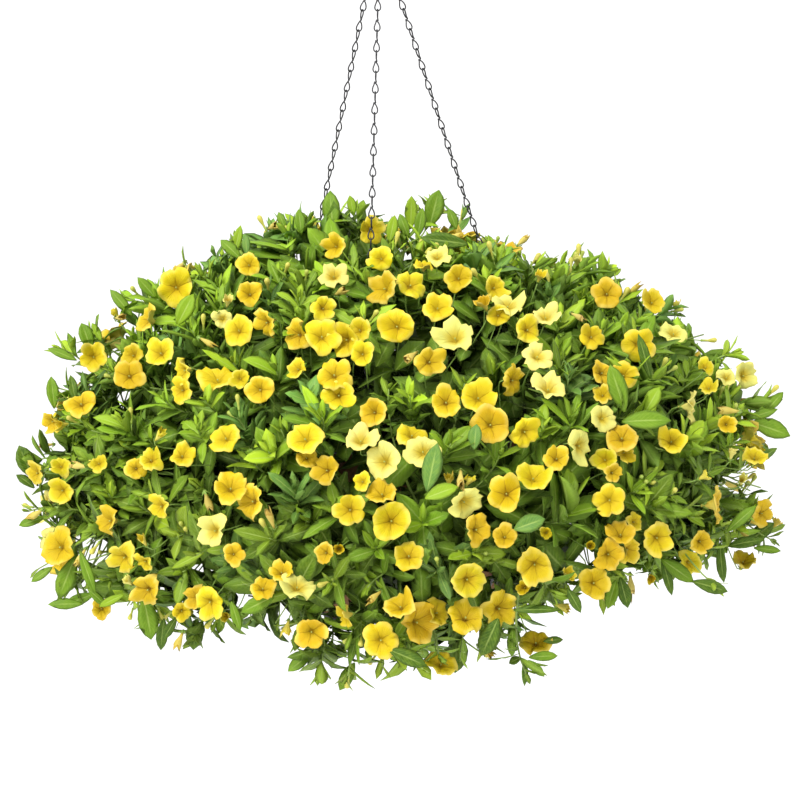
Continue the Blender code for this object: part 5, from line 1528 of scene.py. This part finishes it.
def makeChain(name):
    # Links along the straight line from the hook's eye to the rim, turned evenly so that the first
    # hangs in the eye and the last loop holds the rim
    azimuth, aside, turnFromFront = chains["lines"][name]
    bottom, top = chainEnds(azimuth, aside)
    along = unit(bottom - top)
    span = float(np.linalg.norm(top - bottom))
    wire = chains["wire"]
    pitch = (span + 2.0 * wire) / chains["links"]
    # Square axes: first lies in the plane of the eye's wire, last in the upright plane of the rim's
    out = around(azimuth)
    first = unit(np.array([0.0, 1.0, 0.0]) - along * along[1])
    second = np.cross(along, first)
    last = unit(out - along * (out @ along))
    free = math.atan2(last @ second, last @ first) % math.pi - math.pi / 2.0
    path, guide = linkPath(pitch / 2.0 + wire, chains["width"] / 2.0, chains["steps"], wire)
    k = np.arange(chains["links"])
    # The eye is met face on, then each chain hangs a little turned from the front
    turn = free * smooth((k - chains["roundFrom"]) / chains["roundOver"])
    back = smooth((chains["turnUpTo"] - k) / chains["turnBackOver"])
    turn = turn + math.radians(turnFromFront) * smooth(k / chains["turnOver"]) * back
    x = first * np.cos(turn)[:, None] + second * np.sin(turn)[:, None]
    y = second * np.cos(turn)[:, None] - first * np.sin(turn)[:, None]
    waist = top + along * (pitch * (k + 0.5) - wire)[:, None]
    frameOf = np.stack([x, y, np.broadcast_to(-along, x.shape)], axis=1)
    points = waist[:, None] + np.einsum("pi,kij->kpj", path, frameOf)
    guides = np.einsum("pi,kij->kpj", guide, frameOf)
    part = tubes(points, guides, wire, chains["sides"], wireTint, loop=True)
    meshPiece(name + "_links", [part], wireMaterial, [name])


for chainName in chains["lines"]:
    makeChain(chainName)


# The hook over the chains

hook = {
    "wire": 0.0015, "bend": 0.013, "topDrop": 0.060, "eye": 0.009, "from": 205.0, "to": -25.0,
    "shank": ((0.0085, -0.0265), (0.0020, -0.0325), (0.0, -0.0380)), "sides": 12,
    "arcRows": 12, "rowsPerSpan": 5, "eyeRows": 48,
}


def throughPoints(points, perSpan):
    # A Catmull-Rom curve through the points
    p = np.concatenate([2 * points[:1] - points[1:2], points, 2 * points[-1:] - points[-2:-1]])
    t = np.linspace(0.0, 1.0, perSpan, endpoint=False)[None, :, None]
    a, b, c, d = p[:-3, None], p[1:-2, None], p[2:-1, None], p[3:, None]
    curve = 0.5 * (2 * b + (c - a) * t + (2 * a - 5 * b + 4 * c - d) * t ** 2
                   + (3 * b - a - 3 * c + d) * t ** 3)
    return np.concatenate([curve.reshape(-1, 3), points[-1:]])


def makeHook():
    # An arc over the support, a shank curved back under it, and a closed round eye
    a = np.radians(np.linspace(hook["from"], hook["to"], hook["arcRows"]))
    radius = hook["bend"] + hook["wire"]
    arc = np.stack([radius * np.cos(a), 0 * a, radius * np.sin(a) - hook["bend"]], axis=-1)
    shank = [(x, 0.0, z) for x, z in hook["shank"]]
    end = (0.0, 0.0, 2.0 * hook["eye"] - hook["topDrop"])
    path = throughPoints(np.concatenate([arc, shank, [end]]), hook["rowsPerSpan"])[None]
    upright = levelCircle(hook["eyeRows"])[None][..., [0, 2, 1]]
    eyePath = hook["eye"] * upright + skyward * (hook["eye"] - hook["topDrop"])
    lift = np.array([0.0, 0.0, -rimHeight])
    side = np.array([0.0, 1.0, 0.0])
    parts = [tubes(path + lift, side, hook["wire"], hook["sides"], wireTint),
             tubes(eyePath + lift, side, hook["wire"], hook["sides"], wireTint, loop=True)]
    meshPiece("hook_wire", parts, wireMaterial, ["hook"])


makeHook()


# Wire basket, liner and soil

def makeBasket():
    # Round hoops and ribs, with a bead of weld where they cross
    level = levelCircle(basket["hoopRows"])[None]
    sides = basket["wireSides"]
    rim = level * basket["rimRadius"]
    parts = [tubes(rim, skyward, basket["rimWire"], basket["rimSides"], wireTint, loop=True)]
    for share in basket["hoopHeights"]:
        hoop = level * bowlRadius(share) - skyward * share * basket["depth"]
        parts.append(tubes(hoop, skyward, basket["ribWire"], sides, wireTint, loop=True))
    out = levelCircle(basket["ribs"])
    side = np.cross(skyward, out)
    share = np.sin(np.linspace(0.0, math.pi / 2.0, basket["ribRows"]))
    drop = skyward * (share * basket["depth"])[None, :, None]
    ribs = out[:, None] * bowlRadius(share)[None, :, None] - drop
    parts.append(tubes(ribs, side[:, None], basket["ribWire"], sides, wireTint))
    beads = []
    for share in (0.0,) + basket["hoopHeights"]:
        place = out * bowlRadius(share) - skyward * share * basket["depth"]
        beads.append(place[:, None] + side[:, None] * np.array(basket["beadRows"])[:, None])
    growth = np.repeat([[basket["rimBead"]], [1.0], [1.0]], basket["ribs"], axis=0)
    swell = growth * np.array(basket["beadRadii"])
    parts.append(tubes(np.concatenate(beads), skyward, swell, sides, wireTint))
    meshPiece("basket_wires", parts, wireMaterial, ["basket_frame"])


liner = {
    "wall": 0.008, "top": 0.002, "bump": 0.0011, "sides": 112, "strands": 420, "inset": 0.0012,
    "tint": (0.235, 0.130, 0.058, 1.0), "strandTint": (0.30, 0.17, 0.08, 1.0),
    # Its gap within the ribs, and the share of the depth over which its top widens to them
    "ribGap": 0.0006, "widens": 0.5,
    "wallRows": 34, "insideRows": 12, "baseRadii": (0.010, 0.040, 0.066), "baseRise": 0.0012,
    "floorRadii": (0.040, 0.010), "waves": 40, "waveNumbers": (40.0, 900.0),
    # Strands: half their length, their own radius, how far they stand off the wall, the radius that
    # makes their length an angle, and their shades
    "strandReach": (0.006, 0.016), "strandRadius": 0.00022, "strandRows": 6, "strandLift": (0.0007, 0.0002),
    "strandCircle": 0.12, "strandShades": (0.6, 1.3),
}


def wallRadius(height):
    # Outside of the liner, from its node's own box at the top to the ribs' curve below
    share = np.clip(-height / basket["depth"], 0.0, 1.0)
    inside = bowlRadius(share) - basket["ribWire"] * 1.5 - liner["ribGap"]
    below = smooth(share / liner["widens"])
    return np.minimum(inside, linerTopRadius - (linerTopRadius - inside) * below)


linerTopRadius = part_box("liner")[1].x
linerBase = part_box("liner")[0].z - rimHeight


def turned(radii, heights, sides):
    # A profile turned about the axis: its points, and the outward direction at each
    level = levelCircle(sides)[None]
    return level * radii[:, None, None] + skyward * heights[:, None, None], level


def cupShell(points, tint):
    # The part of a turned profile, with u round the axis and v along the profile
    rows, sides = points.shape[:2]
    return shells(points[None], np.linspace(0.0, 1.0, sides + 1), np.linspace(0.0, 1.0, rows), tint)


def makeLiner():
    # A felted cup of coco fibre, roughened by waves of drawn direction and phase, with loose strands
    # that lie on its wall
    draws = np.random.default_rng(71)
    wall = np.linspace(linerBase + 0.004, liner["top"] - 0.002, liner["wallRows"])
    outer = wallRadius(wall) - liner["inset"]
    floor = linerBase + liner["wall"]
    inside = np.linspace(liner["top"] - 0.003, floor, liner["insideRows"])
    # From the middle of the base up the wall, over the lip, and down to the middle of the floor
    base, last = liner["baseRadii"], liner["floorRadii"]
    radii = np.concatenate([base, outer, [outer[-1] - 0.002, outer[-1] - 0.006],
                            wallRadius(inside) - liner["wall"], last])
    heights = np.concatenate([[linerBase + liner["baseRise"]] * len(base), wall,
                              [liner["top"], liner["top"] - 0.0003], inside, [floor] * len(last)])
    relief = np.concatenate([np.zeros(len(base)), np.full(len(wall), liner["bump"]), [0.0006, 0.0006],
                             np.zeros(len(inside) + len(last))])
    points, level = turned(radii, heights, liner["sides"])
    count = liner["waves"]
    waves = draws.normal(0.0, 1.0, (count, 3)) * np.geomspace(*liner["waveNumbers"], count)[:, None]
    shift = draws.uniform(0.0, fullTurn, count)
    rough = np.sin(points @ waves.T + shift) @ (1.0 / np.geomspace(1.0, 3.0, count)) / 6.0
    points = points + level * (rough * relief[:, None])[..., None]
    parts = [cupShell(points, liner["tint"])]
    n = liner["strands"]
    height = draws.uniform(linerBase + 0.01, liner["top"] - 0.004, n)
    azimuth = draws.uniform(0.0, fullTurn, n)
    slope = draws.uniform(-1.0, 1.0, n)
    s = np.linspace(-1.0, 1.0, liner["strandRows"])
    run = draws.uniform(*liner["strandReach"], n)[:, None] * s
    turn = azimuth[:, None] + run * np.cos(slope)[:, None] / liner["strandCircle"]
    z = np.clip(height[:, None] + run * np.sin(slope)[:, None], linerBase + 0.004, liner["top"] - 0.001)
    bow, off = liner["strandLift"]
    r = wallRadius(z) - liner["inset"] + bow * (1.0 - s * s) + off
    paths = np.stack([r * np.cos(turn), r * np.sin(turn), z], axis=-1)
    shade = np.array(liner["strandTint"]) * draws.uniform(*liner["strandShades"], (n, 1))
    parts.append(tubes(paths, skyward, liner["strandRadius"], 3, shade[:, None, None]))
    meshPiece("coco_liner", parts, fibreMaterial, ["liner"])

# The top is raised by crumb times the scaled sum of its waves, which deepestCrumb limits
soil = {
    "sides": 96, "gap": 0.0015, "insideRows": 8, "topRows": 26, "middle": 0.004, "heap": 0.0045,
    "waves": 60, "waveNumbers": (60.0, 900.0), "crumb": 0.0018, "deepestCrumb": 2.0,
}


def makeSoil():
    # The filled cup, heaped and crumbled on top by level waves
    draws = np.random.default_rng(79)
    low, high = (corner.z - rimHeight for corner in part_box("soil"))
    base = low + 0.0004
    inside = np.linspace(base, high - 0.006, soil["insideRows"])
    outer = wallRadius(inside) - liner["wall"] - soil["gap"]
    ring = np.linspace(outer[-1] - 0.001, soil["middle"], soil["topRows"])
    radii = np.concatenate([[0.020], outer, ring])
    heights = np.concatenate([[base], inside, high - soil["heap"] + 0.0 * ring])
    points, _ = turned(radii, heights, soil["sides"])
    count = soil["waves"]
    waves = draws.normal(0.0, 1.0, (count, 3)) * np.geomspace(*soil["waveNumbers"], count)[:, None]
    waves = waves * [1.0, 1.0, 0.0]
    # Divided by nearly the square root of their number
    crumbs = np.sin(points @ waves.T + draws.uniform(0.0, 6.3, count)).sum(axis=-1) / 7.7
    upper = (np.arange(len(radii)) >= len(inside) + 2)[:, None]
    crumbs = np.clip(crumbs, -soil["deepestCrumb"], soil["deepestCrumb"])
    points = points + skyward * (crumbs * soil["crumb"] * upper)[..., None]
    shell = cupShell(points, np.ones(4))
    meshPiece("soil_crumbs", [shell], soilMaterial, ["soil"])


fibreMaterial = fibreFinish()
soilMaterial = soilFinish()
makeBasket()
makeLiner()
makeSoil()
print("chains, hook, basket, liner and soil made")


# Floor, light and camera

stage = {
    "floorDrop": 1.15, "floorSize": 60.0, "worldStrength": 1.2, "keyPlace": (-1.5, -2.4, 2.6),
    "keySize": 1.4, "keyPower": 135.0, "floorColour": (0.97, 0.97, 0.97), "floorRoughness": 0.9,
}


def makeStage():
    # A pale floor, an even white sky and a soft key light from the upper left
    half = stage["floorSize"] / 2.0
    z = rimHeight - stage["floorDrop"]
    corners = [(-half, -half, z), (half, -half, z), (half, half, z), (-half, half, z)]
    mesh = bpy.data.meshes.new("floor")
    mesh.from_pydata(corners, [], [(0, 1, 2, 3)])
    paper = Shading("pale floor")
    mesh.materials.append(paper.finish(stage["floorColour"], stage["floorRoughness"]))
    floor = bpy.data.objects.new("floor", mesh)
    bpy.context.scene.collection.objects.link(floor)
    world = bpy.data.worlds.new("studio")
    world.use_nodes = True
    sky = world.node_tree.nodes["Background"]
    sky.inputs["Color"].default_value = (1.0, 1.0, 1.0, 1.0)
    sky.inputs["Strength"].default_value = stage["worldStrength"]
    bpy.context.scene.world = world
    bpy.context.scene.view_settings.view_transform = "Standard"
    key = bpy.data.lights.new("key", "AREA")
    key.size = stage["keySize"]
    key.energy = stage["keyPower"]
    keyObject = bpy.data.objects.new("key", key)
    fromRim = Vector(stage["keyPlace"])
    keyObject.location = fromRim + Vector((0.0, 0.0, rimHeight))
    keyObject.rotation_euler = (-fromRim).to_track_quat("-Z", "Y").to_euler()
    bpy.context.scene.collection.objects.link(keyObject)


def makeCamera():
    # The view above, with the lens that gives it its scale
    lens = bpy.data.cameras.new("camera")
    pixels = 2.0 * view["middlePixel"]
    lens.sensor_width = 36.0
    lens.lens = lens.sensor_width * view["distance"] / (view["metresPerPixel"] * pixels)
    camera = bpy.data.objects.new("camera", lens)
    place = eye + [0.0, 0.0, rimHeight]
    rows = [(right[k], up[k], -forward[k], place[k]) for k in range(3)]
    camera.matrix_world = Matrix(rows + [(0.0, 0.0, 0.0, 1.0)])
    bpy.context.scene.collection.objects.link(camera)
    bpy.context.scene.camera = camera


makeStage()
makeCamera()
print("stage and camera made")
